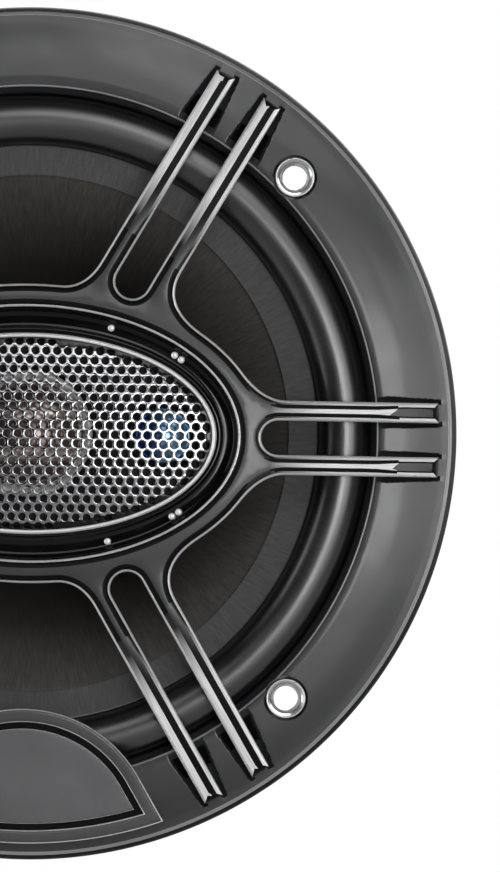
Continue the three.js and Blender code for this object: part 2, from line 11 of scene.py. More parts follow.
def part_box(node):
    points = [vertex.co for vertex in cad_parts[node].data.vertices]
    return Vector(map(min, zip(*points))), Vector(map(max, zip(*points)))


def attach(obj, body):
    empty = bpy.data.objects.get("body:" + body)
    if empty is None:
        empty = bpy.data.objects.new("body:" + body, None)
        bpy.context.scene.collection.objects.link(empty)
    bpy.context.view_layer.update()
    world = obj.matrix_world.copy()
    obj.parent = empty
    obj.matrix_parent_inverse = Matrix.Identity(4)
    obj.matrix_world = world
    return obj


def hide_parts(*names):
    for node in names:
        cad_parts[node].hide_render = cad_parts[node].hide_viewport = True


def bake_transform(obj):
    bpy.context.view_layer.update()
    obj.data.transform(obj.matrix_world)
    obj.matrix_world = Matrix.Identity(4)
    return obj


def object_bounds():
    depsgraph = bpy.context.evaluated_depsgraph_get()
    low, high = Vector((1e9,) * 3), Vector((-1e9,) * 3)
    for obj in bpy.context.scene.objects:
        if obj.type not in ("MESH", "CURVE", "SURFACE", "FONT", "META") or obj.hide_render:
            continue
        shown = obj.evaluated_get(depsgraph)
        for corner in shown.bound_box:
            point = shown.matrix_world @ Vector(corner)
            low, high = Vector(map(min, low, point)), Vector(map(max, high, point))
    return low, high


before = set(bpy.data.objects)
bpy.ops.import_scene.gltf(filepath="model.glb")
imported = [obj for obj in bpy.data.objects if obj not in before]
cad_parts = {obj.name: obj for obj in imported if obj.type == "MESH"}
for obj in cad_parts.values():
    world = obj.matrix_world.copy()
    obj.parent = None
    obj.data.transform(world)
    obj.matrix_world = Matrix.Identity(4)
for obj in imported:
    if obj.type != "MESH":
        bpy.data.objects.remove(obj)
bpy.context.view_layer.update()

# Pieces are made in the speaker's own frame, in millimetres: x to the right and y up as the listener sees
# it, z towards the listener, z = 0 at the door panel. place() turns that into the row frame, in metres.
MM = 0.001
CHASSIS, WOOFER, TWEETER = "chassis", "woofer_diaphragm", "tweeter_diaphragm"
LEFT_TWEETER, RIGHT_TWEETER = "left_supertweeter_diaphragm", "right_supertweeter_diaphragm"


def place(points):
    p = np.asarray(points, float).reshape(-1, 3)
    return np.column_stack((p[:, 0], -p[:, 2], p[:, 1])) * MM


def span(node):
    """A CAD node's lowest and highest corner in the speaker's own frame, in millimetres."""
    lo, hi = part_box(node)
    return Vector((lo.x, lo.z, -hi.y)) / MM, Vector((hi.x, hi.z, -lo.y)) / MM


# ---------------------------------------------------------------- camera

VIEW_HEIGHT = 183.89608  # height of the speaker's face that fills the picture, in millimetres
VIEW_OFFSET = (46.39, -0.56)  # from the speaker's axis to the middle of the picture
SENSOR_HEIGHT = 36
VIEW_ROLL = math.radians(1.0)
VIEW_DISTANCE = 1.6
FACE_Y = -5.5 * MM  # the plane that VIEW_HEIGHT is measured in


def make_camera():
    data = bpy.data.cameras.new("camera")
    data.sensor_fit = "VERTICAL"
    data.sensor_height = SENSOR_HEIGHT
    data.lens = SENSOR_HEIGHT * VIEW_DISTANCE / (VIEW_HEIGHT * MM)
    data.clip_start, data.clip_end = 0.01, 50
    camera = bpy.data.objects.new("camera", data)
    bpy.context.scene.collection.objects.link(camera)
    right = Vector((math.cos(VIEW_ROLL), 0, math.sin(VIEW_ROLL)))
    up = Vector((-math.sin(VIEW_ROLL), 0, math.cos(VIEW_ROLL)))
    offset = (right * VIEW_OFFSET[0] + up * VIEW_OFFSET[1]) * MM
    camera.location = offset + Vector((0, FACE_Y - VIEW_DISTANCE, 0))
    camera.rotation_euler = (math.pi / 2, -VIEW_ROLL, 0)
    bpy.context.scene.camera = camera


make_camera()

# ---------------------------------------------------------------- materials


class Finish:
    """A procedural Principled material: colour that varies, roughness that varies, and a fine bump."""

    def __init__(self, name, color, roughness, **sockets):
        self.material = bpy.data.materials.new(name)
        self.material.use_nodes = True
        self.tree = self.material.node_tree
        self.shader = self.tree.nodes["Principled BSDF"]
        self.color, self.roughness = color, roughness
        for socket, value in sockets.items():
            self.shader.inputs[socket.replace("_", " ")].default_value = value
        self.shader.inputs["Base Color"].default_value = (*color, 1)
        self.shader.inputs["Roughness"].default_value = roughness
        self.coords = self.node("ShaderNodeTexCoord").outputs["Object"]
        self.normal = None

    def node(self, kind, **settings):
        made = self.tree.nodes.new(kind)
        for name, value in settings.items():
            setattr(made, name, value)
        return made

    def link(self, output, target):
        self.tree.links.new(output, target)

    def noise(self, scale, detail, coords=None, roughness=0.5):
        texture = self.node("ShaderNodeTexNoise")
        for name, value in (("Scale", scale), ("Detail", detail), ("Roughness", roughness)):
            texture.inputs[name].default_value = value
        self.link(coords or self.coords, texture.inputs["Vector"])
        return texture.outputs["Fac"]

    def split(self, source):
        made = self.node("ShaderNodeSeparateXYZ")
        self.link(source, made.inputs[0])
        return made.outputs

    def join(self, **parts):
        made = self.node("ShaderNodeCombineXYZ")
        for axis, source in parts.items():
            self.link(source, made.inputs[axis])
        return made.outputs[0]

    def polar(self, around=1.0, radial=1.0, along=1.0):
        """Coordinates that run round the speaker's axis, outwards from it, and along it."""
        own = self.split(self.coords)
        angle = self.math("ARCTAN2", own["Z"], own["X"])
        length = self.node("ShaderNodeVectorMath", operation="LENGTH")
        self.link(self.join(X=own["X"], Z=own["Z"]), length.inputs[0])
        return self.join(
            X=self.math("MULTIPLY", angle, around),
            Y=self.math("MULTIPLY", length.outputs["Value"], radial),
            Z=self.math("MULTIPLY", own["Y"], along),
        )

    def by_radius(self, low, start, end):
        """Changes from low to 1 between two distances from the speaker's axis, in metres."""
        return self.ramp(self.split(self.polar())["Y"], low, 1, start, end)

    def math(self, operation, a, b=None):
        made = self.node("ShaderNodeMath", operation=operation)
        for value, target in zip((a, b), made.inputs):
            if isinstance(value, (int, float)):
                target.default_value = value
            elif value is not None:
                self.link(value, target)
        return made.outputs[0]

    def ramp(self, factor, low, high, start=0.3, end=0.7):
        made = self.node("ShaderNodeMapRange")
        for name, value in zip(("From Min", "From Max", "To Min", "To Max"), (start, end, low, high)):
            made.inputs[name].default_value = value
        self.link(factor, made.inputs["Value"])
        return made.outputs["Result"]

    def vary_color(self, factor, spread, other=None):
        """Spreads the colour both ways by the factor, or blends it by the factor into another one."""
        mix = self.node("ShaderNodeMix", data_type="RGBA")
        self.link(factor if other else self.ramp(factor, 0, 1), mix.inputs[0])
        mix.inputs[6].default_value = (*[c * (1 - spread) for c in self.color], 1)
        mix.inputs[7].default_value = (*(other or [min(1, c * (1 + spread)) for c in self.color]), 1)
        self.link(mix.outputs[2], self.shader.inputs["Base Color"])
        return self

    def vary_roughness(self, factor, spread):
        low, high = max(0.02, self.roughness - spread), min(1, self.roughness + spread)
        self.link(self.ramp(factor, low, high), self.shader.inputs["Roughness"])
        return self

    def bump(self, factor, height):
        made = self.node("ShaderNodeBump")
        made.inputs["Strength"].default_value = 1
        made.inputs["Distance"].default_value = height * MM
        self.link(factor, made.inputs["Height"])
        if self.normal:
            self.link(self.normal, made.inputs["Normal"])
        self.normal = made.outputs["Normal"]
        self.link(self.normal, self.shader.inputs["Normal"])
        return self


def moulded(name, color, roughness, grain=0.012, **sockets):
    """Moulded plastic: spark-eroded grain, with slow changes of colour and gloss."""
    f = Finish(name, color, roughness, **sockets)
    f.vary_color(f.noise(60, 4), 0.12)
    f.vary_roughness(f.noise(140, 4), 0.05)
    return f.bump(f.noise(2600, 2), grain).material


def turned_metal(name, color, roughness):
    """Plated steel with fine turning marks round the axis."""
    f = Finish(name, color, roughness, Metallic=1.0)
    marks = f.noise(1.0, 4, coords=f.polar(1.5, 9000, 9000))
    f.vary_color(f.noise(90, 4), 0.1)
    f.vary_roughness(marks, 0.08)
    return f.bump(marks, 0.006).material


def plated(name, color, roughness):
    f = Finish(name, color, roughness, Metallic=1.0)
    f.vary_color(f.noise(125, 4), 0.12)
    f.vary_roughness(f.noise(500, 3), 0.07)
    return f.bump(f.noise(2000, 2), 0.004).material


def rubber(name, color, roughness):
    f = Finish(name, color, roughness, Specular_IOR_Level=1.0, Coat_Weight=0.8, Coat_Roughness=0.25)
    f.vary_color(f.noise(50, 3), 0.2)
    f.vary_roughness(f.noise(110, 4), 0.04)
    return f.bump(f.noise(900, 3), 0.008).material


def paper_cone(name, color, roughness):
    """Filled polypropylene with a fibre pattern that runs outwards from the neck, darker towards it by
    painted shade.
    """
    f = Finish(name, color, roughness, Specular_IOR_Level=0.25)
    fibres = f.noise(1.0, 5, coords=f.polar(95, 260, 260), roughness=0.65)
    rings = f.noise(1.0, 2, coords=f.polar(0.5, 1400, 0))
    # painted shade: the colour falls to about a quarter towards the neck and is lightest near the rim
    share = f.by_radius(0.15, 0.036, 0.054)
    f.vary_color(f.math("MULTIPLY", share, f.ramp(fibres, 0.5, 1)), 0.8, other=[2.6 * c for c in color])
    f.vary_roughness(fibres, 0.08)
    f.bump(fibres, 0.05)
    return f.bump(rings, 0.02).material


def cloth(name, color, roughness):
    f = Finish(name, color, roughness, Sheen_Weight=0.4)
    weave = f.node("ShaderNodeTexWave", wave_type="BANDS", bands_direction="DIAGONAL")
    weave.inputs["Scale"].default_value = 700
    weave.inputs["Distortion"].default_value = 1.5
    f.link(f.coords, weave.inputs["Vector"])
    f.vary_color(f.noise(300, 4), 0.25)
    f.bump(weave.outputs["Fac"], 0.06)
    return f.bump(f.noise(1500, 3), 0.03).material


def wound(name, color):
    """Enamelled wire wound in close turns."""
    f = Finish(name, color, 0.3, Metallic=0.9)
    turns = f.node("ShaderNodeTexWave", wave_type="BANDS", bands_direction="Y", wave_profile="SIN")
    turns.inputs["Scale"].default_value = 900
    f.link(f.coords, turns.inputs["Vector"])
    f.vary_color(turns.outputs["Fac"], 0.35)
    return f.bump(turns.outputs["Fac"], 0.08).material


# the satin colour, a near black that serves both gloss black plastic and painted shade, and the near white of
# painted highlights
SATIN, SHADE_AND_GLOSS_BLACK, HIGHLIGHT_WHITE = (0.028, 0.0285, 0.031), (0.003, 0.003, 0.003), (0.95, 0.95, 0.95)
MAT = {
    "satin": moulded("satin_black_plastic", SATIN, 0.34, Coat_Weight=0.35, Coat_Roughness=0.12),
    # shade: painted shade, a near black put on inner turns of edges, pockets and recesses where shade falls
    "shade": moulded("painted_shade_black", SHADE_AND_GLOSS_BLACK, 0.5, Specular_IOR_Level=0.12),
    # edge: painted highlight, a pale finish on rounded edges that stands in for lines of light along them
    "edge": moulded("edge_painted_highlight", HIGHLIGHT_WHITE, 0.3, grain=0.003, Metallic=0.35),
    # rim: painted highlight, a light grey on the ring's front edge and on the opening's rounded edge
    "rim": moulded("ring_rim_grey", (0.37, 0.37, 0.375), 0.32, grain=0.01, Metallic=0.35),
    "band": moulded("badge_band_grey", (0.09, 0.09, 0.092), 0.34, grain=0.03, Metallic=0.3),
    "seat": plated("screw_seat_plate", (0.72, 0.72, 0.72), 0.32),
    "pod": moulded("pod_plastic", (0.008, 0.008, 0.009), 0.5, grain=0.02, Specular_IOR_Level=0.25),
    # gloss: gloss black plastic on the bezel, and painted shade on the screen's margin
    "gloss": moulded("gloss_black_and_painted_shade", SHADE_AND_GLOSS_BLACK, 0.12, grain=0.002, Specular_IOR_Level=0.3),
    "badge": moulded("badge_plate_grey", (0.15, 0.15, 0.155), 0.36, grain=0.006, Metallic=0.35),
    "mesh": plated("screen_steel", (0.36, 0.36, 0.37), 0.16),
    "foam": moulded("gasket_foam", (0.014, 0.014, 0.015), 0.95, grain=0.15),
    "paint": moulded("powder_coat", (0.02, 0.0205, 0.022), 0.42, grain=0.03, Coat_Weight=0.2),
    "zinc": turned_metal("zinc_plate", (0.55, 0.55, 0.54), 0.3),
    "bright": plated("bright_plate", (0.72, 0.7, 0.7), 0.18),
    "ferrite": moulded("ferrite", (0.035, 0.035, 0.038), 0.7, grain=0.05),
    "rubber": rubber("surround_rubber", (0.004, 0.004, 0.0045), 0.33),
    "lip": paper_cone("surround_lip", (0.034, 0.034, 0.035), 0.48),
    "cone": paper_cone("cone_polypropylene", (0.034, 0.031, 0.028), 0.55),
    "cloth": cloth("spider_cloth", (0.42, 0.25, 0.08), 0.8),
    "kapton": moulded("kapton_film", (0.3, 0.13, 0.03), 0.3, grain=0.002),
    "copper": wound("copper_wire", (0.6, 0.25, 0.12)),
    "tin": plated("tinned_brass", (0.68, 0.67, 0.64), 0.28),
    "phenolic": moulded("phenolic_board", (0.085, 0.035, 0.016), 0.5, grain=0.02),
    "wire": moulded("wire_insulation", (0.012, 0.012, 0.013), 0.4, grain=0.01),
    "sleeve": moulded("capacitor_sleeve", (0.015, 0.03, 0.12), 0.25, grain=0.004),
}

# the bridge's materials, by the kind of its faces: satin, painted shade, three painted highlights, satin into
# painted shade
PLAIN, TURN, EDGE, LAND, FLANK, DARKENING = range(6)
EDGED = ("satin", "shade", "edge", "land", "flank", "darkening")


def land(name, root):
    """A bar's painted highlight: the root's colour near the hub, a streaky near white further out."""
    f = Finish(name, root, 0.36, Coat_Weight=0.35, Coat_Roughness=0.12)
    share = f.by_radius(0, 0.051, 0.064)
    streaks = f.noise(1.0, 3, coords=f.polar(300, 40, 40))
    f.vary_color(f.math("MULTIPLY", share, f.ramp(streaks, 0.75, 1.1)), 0.1, other=HIGHLIGHT_WHITE)
    return f.bump(f.noise(2600, 2), 0.006).material


def darkening():
    """Satin black near the hub that turns to painted shade, a plain near black, along the bars."""
    f = Finish("bar_painted_shade", SATIN, 0.36, Specular_IOR_Level=0.12, Coat_Roughness=0.32)
    share = f.by_radius(0, 0.046, 0.058)
    f.link(f.ramp(share, 1, 0, 0, 1), f.shader.inputs["Coat Weight"])
    f.vary_color(f.math("MULTIPLY", share, f.ramp(f.noise(500, 3), 0.95, 1)), 0.1, other=SHADE_AND_GLOSS_BLACK)
    return f.bump(f.noise(2600, 2), 0.006).material


def film(name, color, bright, axis, middle, reach):
    """A metallised dome with a painted highlight, brightest where its distance from the speaker's middle line
    is right.
    """
    f = Finish(name, color, 0.24, Metallic=0.7)
    away = f.math("ABSOLUTE", f.math("SUBTRACT", f.math("ABSOLUTE", f.split(f.coords)[axis]), middle))
    share = f.ramp(away, 1, 0, 0, reach)
    f.vary_color(f.math("MULTIPLY", share, f.ramp(f.noise(700, 3), 0.7, 1.1)), 0.1, other=bright)
    return f.bump(f.noise(1500, 2), 0.01).material


# painted highlights along the bars: one from a satin root, one from a near-black root
MAT["land"] = land("bar_painted_highlight", (0.02, 0.0205, 0.022))
MAT["flank"] = land("bar_flank_painted_highlight", SHADE_AND_GLOSS_BLACK)
MAT["darkening"] = darkening()
MAT["rose"] = film("rose_dome", (0.2, 0.15, 0.14), (1.0, 0.84, 0.8), "Z", 0.0044, 0.0017)
MAT["blue"] = film("blue_dome", (0.015, 0.07, 0.3), (0.35, 0.68, 1.0), "X", 0.031, 0.0055)

# ---------------------------------------------------------------- mesh tools

SHARP = 32  # degrees between faces from which an edge is drawn sharp


def make_piece(name, points, faces, materials, sharp=SHARP, pick=None, kinds=None):
    """A shaded mesh object. kinds lists each face's place in the list of materials, or pick(radius, facing)
    gives it from the face's distance to the axis and how squarely it faces the listener."""
    mesh = bpy.data.meshes.new(name)
    mesh.from_pydata(place(points).tolist(), [], faces)
    if kinds:
        mesh.polygons.foreach_set("material_index", kinds)
    bm = bmesh.new()
    bm.from_mesh(mesh)
    bmesh.ops.remove_doubles(bm, verts=bm.verts, dist=1e-7)
    bmesh.ops.recalc_face_normals(bm, faces=bm.faces)
    if pick:
        for face in bm.faces:
            centre = face.calc_center_median() / MM
            face.material_index = pick(math.hypot(centre.x, centre.z), -face.normal.y)
    bm.to_mesh(mesh)
    bm.free()
    obj = bpy.data.objects.new(name, mesh)
    bpy.context.scene.collection.objects.link(obj)
    for key in [materials] if isinstance(materials, str) else materials:
        mesh.materials.append(MAT[key])
    smooth(mesh, sharp)
    return obj


def smooth(mesh, sharp):
    mesh.shade_smooth()
    mesh.set_sharp_from_angle(angle=math.radians(sharp))


def assign(obj, body, slot, *nodes):
    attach(obj, body)
    if nodes:
        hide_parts(*nodes)
    return obj


def build(name, shape, materials, body, slot, *nodes, **look):
    """A piece from its points and faces, with its body and the CAD nodes it replaces; the slot is not used.
    """
    return assign(make_piece(name, *shape, materials, **look), body, slot, *nodes)


def rounded(corners, steps=5):
    """A closed polygon whose (x, y, radius) corners are replaced by arcs."""
    out = []
    for i, corner in enumerate(corners):
        p = np.array(corner[:2], float)
        radius = corner[2] if len(corner) > 2 else 0
        if radius <= 0:
            out.append(p)
            continue
        a = np.array(corners[i - 1][:2], float) - p
        b = np.array(corners[(i + 1) % len(corners)][:2], float) - p
        len_a, len_b = np.linalg.norm(a), np.linalg.norm(b)
        a, b = a / len_a, b / len_b
        half = math.acos(np.clip(a @ b, -1, 1)) / 2
        reach = min(radius / math.tan(half), 0.48 * len_a, 0.48 * len_b)
        centre = p + (a + b) / np.linalg.norm(a + b) * (reach / math.cos(half))
        u, v = p + a * reach - centre, p + b * reach - centre
        turn = math.atan2(u[0] * v[1] - u[1] * v[0], u @ v)
        for k in range(steps + 1):
            c, s = math.cos(turn * k / steps), math.sin(turn * k / steps)
            out.append(centre + np.array((c * u[0] - s * u[1], s * u[0] + c * u[1])))
    return np.array(out)


def loft(sections):
    """Faces between a ring of closed sections that all have the same number of points."""
    count, size = len(sections), len(sections[0])
    faces = []
    for i in range(count):
        for j in range(size):
            a, b = i * size + j, i * size + (j + 1) % size
            c, d = ((i + 1) % count) * size + (j + 1) % size, ((i + 1) % count) * size + j
            faces.append((a, b, c, d))
    return np.concatenate(sections), faces


def revolve(profile, sides=160, centre=(0, 0)):
    """A closed [radius, z] profile turned about a line along z."""
    sections = []
    for i in range(sides):
        angle = 2 * math.pi * i / sides
        x, y = math.cos(angle), math.sin(angle)
        sections.append(np.array([(centre[0] + r * x, centre[1] + r * y, z) for r, z in profile]))
    points, faces = loft(sections)
    return points, [f for f in faces if not on_axis(points, f, centre)]


def on_axis(points, face, centre):
    return all(np.hypot(*(points[i][:2] - centre)) < 1e-9 for i in face)


def lathe(name, profile, material, body, slot, *nodes, sides=160, centre=(0, 0)):
    return build(name, revolve(rounded(profile, 4), sides, centre), material, body, slot, *nodes)


def block(inner, outer, z0, z1, *radii):
    """A rectangular profile between two radii and two heights; radii round its corners, in the order back
    inner, back outer, front outer and front inner."""
    corners = ((inner, z0), (outer, z0), (outer, z1), (inner, z1))
    return [(*corner, radius) for corner, radius in zip(corners, radii or (0, 0, 0, 0))]


def sheet(front, thickness):
    """A closed profile: the front line, and the same line back again behind it."""
    return front + [(r, z - thickness) for r, z in reversed(front)]


def oval_point(a, b, t):
    return np.array((a * math.cos(t), b * math.sin(t)))


def grown(oval, by):
    return oval[0] + by, oval[1] + by


def oval_loop(a, b, count):
    return np.array([oval_point(a, b, 2 * math.pi * k / count) for k in range(count)])


def oval_band(inner, outer, profile, sides=200):
    """A closed profile of (share of the way from the inner oval to the outer, z) swept round."""
    sections = []
    for i in range(sides):
        t = 2 * math.pi * i / sides
        p, q = oval_point(*inner, t), oval_point(*outer, t)
        sections.append(np.array([(*(p + (q - p) * s), z) for s, z in profile]))
    return loft(sections)


def tube(points, radius, sides, steps=8):
    """A round tube with rounded ends along a smooth curve through the points."""
    p = [Vector(q) for q in points]
    p = [p[0] * 2 - p[1], *p, p[-1] * 2 - p[-2]]
    path = []
    for i in range(1, len(p) - 2):
        for k in range(steps):
            path.append(catmull_rom(*p[i - 1 : i + 3], k / steps))
    path.append(p[-2])
    last = len(path) - 1
    tangents = [(path[min(i + 1, last)] - path[max(i - 1, 0)]).normalized() for i in range(last + 1)]
    side = tangents[0].orthogonal().normalized()
    rows = []
    for i, (at, along) in enumerate(zip(path, tangents)):
        side = (side - along * side.dot(along)).normalized()
        up = along.cross(side)
        r = radius * (0.75 if i in (0, last) else 1)
        for k in range(sides):
            angle = 2 * math.pi * k / sides
            rows.append(at + (side * math.cos(angle) + up * math.sin(angle)) * r)
    faces = []
    for i in range(last):
        for k in range(sides):
            n = (k + 1) % sides
            faces.append((i * sides + k, i * sides + n, (i + 1) * sides + n, (i + 1) * sides + k))
    faces += [tuple(range(sides)), tuple(last * sides + k for k in range(sides))]
    return np.array(rows), faces


def catmull_rom(a, b, c, d, t):
    return 0.5 * (2 * b + (c - a) * t + (2 * a - 5 * b + 4 * c - d) * t**2 + (3 * b - a - 3 * c + d) * t**3)


def inside(points, loops):
    """Which 2-D points lie inside the loops, by even and odd crossings."""
    p = np.asarray(points, float)
    found = np.zeros(len(p), bool)
    for loop in loops:
        q = np.roll(loop, -1, axis=0)
        for (x0, y0), (x1, y1) in zip(loop, q):
            if y0 == y1:
                continue
            between = (y0 > p[:, 1]) != (y1 > p[:, 1])
            found ^= between & (p[:, 0] < (x1 - x0) * (p[:, 1] - y0) / (y1 - y0) + x0)
    return found


def fill_points(loops, spacing, clear=0.6):
    """A staggered grid of points inside the loops, clear of their edges."""
    edge = np.concatenate(loops)
    tree = KDTree(len(edge))
    for i, (x, y) in enumerate(edge):
        tree.insert((x, y, 0), i)
    tree.balance()
    lo, hi = edge.min(0), edge.max(0)
    rows = []
    for j, y in enumerate(np.arange(lo[1], hi[1], spacing * 0.87)):
        rows += [(x, y) for x in np.arange(lo[0] + (j % 2) * spacing / 2, hi[0], spacing)]
    grid = np.array(rows)
    grid = grid[inside(grid, loops)]
    return np.array([g for g in grid if tree.find((*g, 0))[2] > clear * spacing]).reshape(-1, 2)


def fill(loops, extra):
    """Triangles over the loops' inside that use the loops' points and the extra ones, by index."""
    points = np.concatenate([*loops, extra]) if len(extra) else np.concatenate(loops)
    edges, start = [], 0
    for loop in loops:
        edges += [(start + i, start + (i + 1) % len(loop)) for i in range(len(loop))]
        start += len(loop)
    result = delaunay_2d_cdt([Vector(p) for p in points], edges, [], 0, 1e-7)
    origin = [ids[0] for ids in result[3]]
    faces = np.array([[origin[i] for i in face] for face in result[2]])
    keep = inside(points[faces].mean(axis=1), loops)
    return faces[keep].tolist()


def offset_directions(loop):
    """For each point the move that shifts both its edges one unit to their left."""
    before, after = loop - np.roll(loop, 1, axis=0), np.roll(loop, -1, axis=0) - loop
    before /= np.linalg.norm(before, axis=1)[:, None]
    after /= np.linalg.norm(after, axis=1)[:, None]
    normal_a = np.column_stack((-before[:, 1], before[:, 0]))
    normal_b = np.column_stack((-after[:, 1], after[:, 0]))
    total = normal_a + normal_b
    scale = np.maximum(1 + (normal_a * normal_b).sum(1), 0.35)
    return total / scale[:, None]


def even(value):
    return lambda x, y: value


def lowered(surface, drop):
    return lambda x, y: surface(x, y) - drop


def slab(loops, top, bottom, fillet, spacing, steps=6):
    """A plate over loops that keep it on their left, with a top, a bottom and a rounded top edge that are
    numbers or functions of x and y. Outer loops run anticlockwise and holes clockwise. Also gives each
    face's kind: PLAIN for walls and top, TURN for the rounded edge's inner turn, EDGE for its outer one."""
    top, bottom, fillet = (f if callable(f) else even(f) for f in (top, bottom, fillet))
    flat = np.concatenate(loops)
    moves = np.concatenate([offset_directions(loop) for loop in loops])
    radius = np.array([fillet(x, y) for x, y in flat])
    levels = [np.column_stack((flat, [bottom(x, y) for x, y in flat]))]
    for k in range(steps + 1):
        a = math.pi / 2 * k / steps
        moved = flat + moves * (radius * (1 - math.cos(a)))[:, None]
        height = np.array([top(x, y) for x, y in moved]) - radius * (1 - math.sin(a))
        levels.append(np.column_stack((moved, height)))
    count = len(flat)
    faces, kinds, start = [], [], 0
    for loop in loops:
        size = len(loop)
        for level in range(len(levels) - 1):
            for i in range(size):
                a, b = level * count + start + i, level * count + start + (i + 1) % size
                faces.append((a, b, b + count, a + count))
            kinds += [PLAIN if level == 0 else EDGE if level <= steps * 0.55 else TURN] * size
        start += size
    points = np.concatenate(levels)
    for level, height in ((len(levels) - 1, top), (0, bottom)):
        bounds = np.cumsum([0] + [len(loop) for loop in loops])
        rings = [levels[level][a:b, :2] for a, b in zip(bounds, bounds[1:])]
        extra = fill_points(rings, spacing if level else spacing * 2)
        triangles = fill(rings, extra)
        base = len(points)
        faces += [tuple(level * count + i if i < count else base + i - count for i in t) for t in triangles]
        if len(extra):
            points = np.concatenate((points, np.column_stack((extra, [height(x, y) for x, y in extra]))))
    kinds += [PLAIN] * (len(faces) - len(kinds))
    return points, faces, kinds


def subtract(obj, cutters):
    """Cuts the cutters out of the object and removes them."""
    for cutter in cutters:
        modifier = obj.modifiers.new("cut", "BOOLEAN")
        modifier.operation, modifier.solver, modifier.object = "DIFFERENCE", "EXACT", cutter
    bpy.context.view_layer.update()
    made = bpy.data.meshes.new_from_object(obj.evaluated_get(bpy.context.evaluated_depsgraph_get()))
    obj.modifiers.clear()
    obj.data = made
    smooth(made, SHARP)
    for cutter in cutters:
        bpy.data.objects.remove(cutter)
    return obj


def drum(radius, z0, z1, centre=(0, 0), sides=48):
    shape = revolve([(0, z0), (radius, z0), (radius, z1), (0, z1)], sides, centre)
    return make_piece("cutter", *shape, "satin")


def direction(degrees):
    return np.array((math.cos(math.radians(degrees)), math.sin(math.radians(degrees))))


def interpolate(table, x):
    """Smooth curve through (x, y) points by monotone cubic pieces."""
    xs, ys = np.array(table, float).T
    slopes = np.diff(ys) / np.diff(xs)
    tangents = np.concatenate(([slopes[0]], np.zeros(len(xs) - 2), [slopes[-1]]))
    for i in range(1, len(xs) - 1):
        if slopes[i - 1] * slopes[i] > 0:
            tangents[i] = 2 / (1 / slopes[i - 1] + 1 / slopes[i])
    x = min(max(x, xs[0]), xs[-1])
    i = min(int(np.searchsorted(xs, x, side="right")) - 1, len(xs) - 2)
    h = xs[i + 1] - xs[i]
    t = (x - xs[i]) / h
    return (
        (2 * t**3 - 3 * t**2 + 1) * ys[i]
        + (t**3 - 2 * t**2 + t) * h * tangents[i]
        + (3 * t**2 - 2 * t**3) * ys[i + 1]
        + (t**3 - t**2) * h * tangents[i + 1]
    )


# ---------------------------------------------------------------- front: trim ring

RING_R = span("trim_ring")[1].x
RING_TOP = span("trim_ring")[1].z
SCREW_R = 77.6
SCREW_ANGLES = (45, 135, 225, 315)
OPENING_R = 72.6
RING_FACE = ((74.2, RING_TOP), (80.5, RING_TOP - 0.75), (87.4, RING_TOP - 2.2))


def ring_top(r):
    return interpolate(RING_FACE, r)


BAR_WIDTH, BAR_HALF_SPACING, BAR_END_R = 4.2, 5.7, 86.3
# direction of each pair of bars, sideways offset of their middle line, pocket width at its two ends
BAR_PAIRS = ((0, 0, 1.3, 0.8), (60, -2.25, 2.3, 0.9), (120, 2.25, 2.3, 0.9))


def smoothstep(t):
    t = min(max(t, 0), 1)
    return t * t * (3 - 2 * t)


def pocket_depth(x, y):
    """How far the ring's face sinks beside a bar's foot: deepest at the bar, with a step at the far edge."""
    r = math.hypot(x, y)
    lengthwise = smoothstep((r - 73.9) / 0.9) * smoothstep((86.9 - r) / 0.5)
    if lengthwise == 0:
        return 0
    depth = 0
    for angle, offset, width_in, width_out in BAR_PAIRS:
        for half_turn in (1, -1):
            c, s = half_turn * direction(angle)
            u, v = x * c + y * s, (y * c - x * s) - offset
            if u < 70:
                continue
            aside = abs(abs(v) - BAR_HALF_SPACING) - BAR_WIDTH / 2
            width = width_in + (width_out - width_in) * (u - 73.5) / 12.5
            if -0.3 < aside < width:
                shape = 1.3 - max(aside, 0) / width
                depth = shape * smoothstep((width - aside) / 0.4) * smoothstep((aside + 0.3) / 0.25)
    return depth * lengthwise


def ring_angles():
    """Section angles, close together across the bars' feet."""
    near = []
    for angle, offset, *_ in BAR_PAIRS:
        for half_turn in (0, 180):
            for side in (-1, 1):
                shift = offset + side * BAR_HALF_SPACING
                near.append(math.radians(angle + half_turn) + math.asin(shift / 80))
    angles = [0.0]
    while angles[-1] < 2 * math.pi:
        gap = min(abs((angles[-1] - n + math.pi) % (2 * math.pi) - math.pi) for n in near)
        angles.append(angles[-1] + (0.0024 if gap < 0.079 else 0.018))
    return angles[:-1]


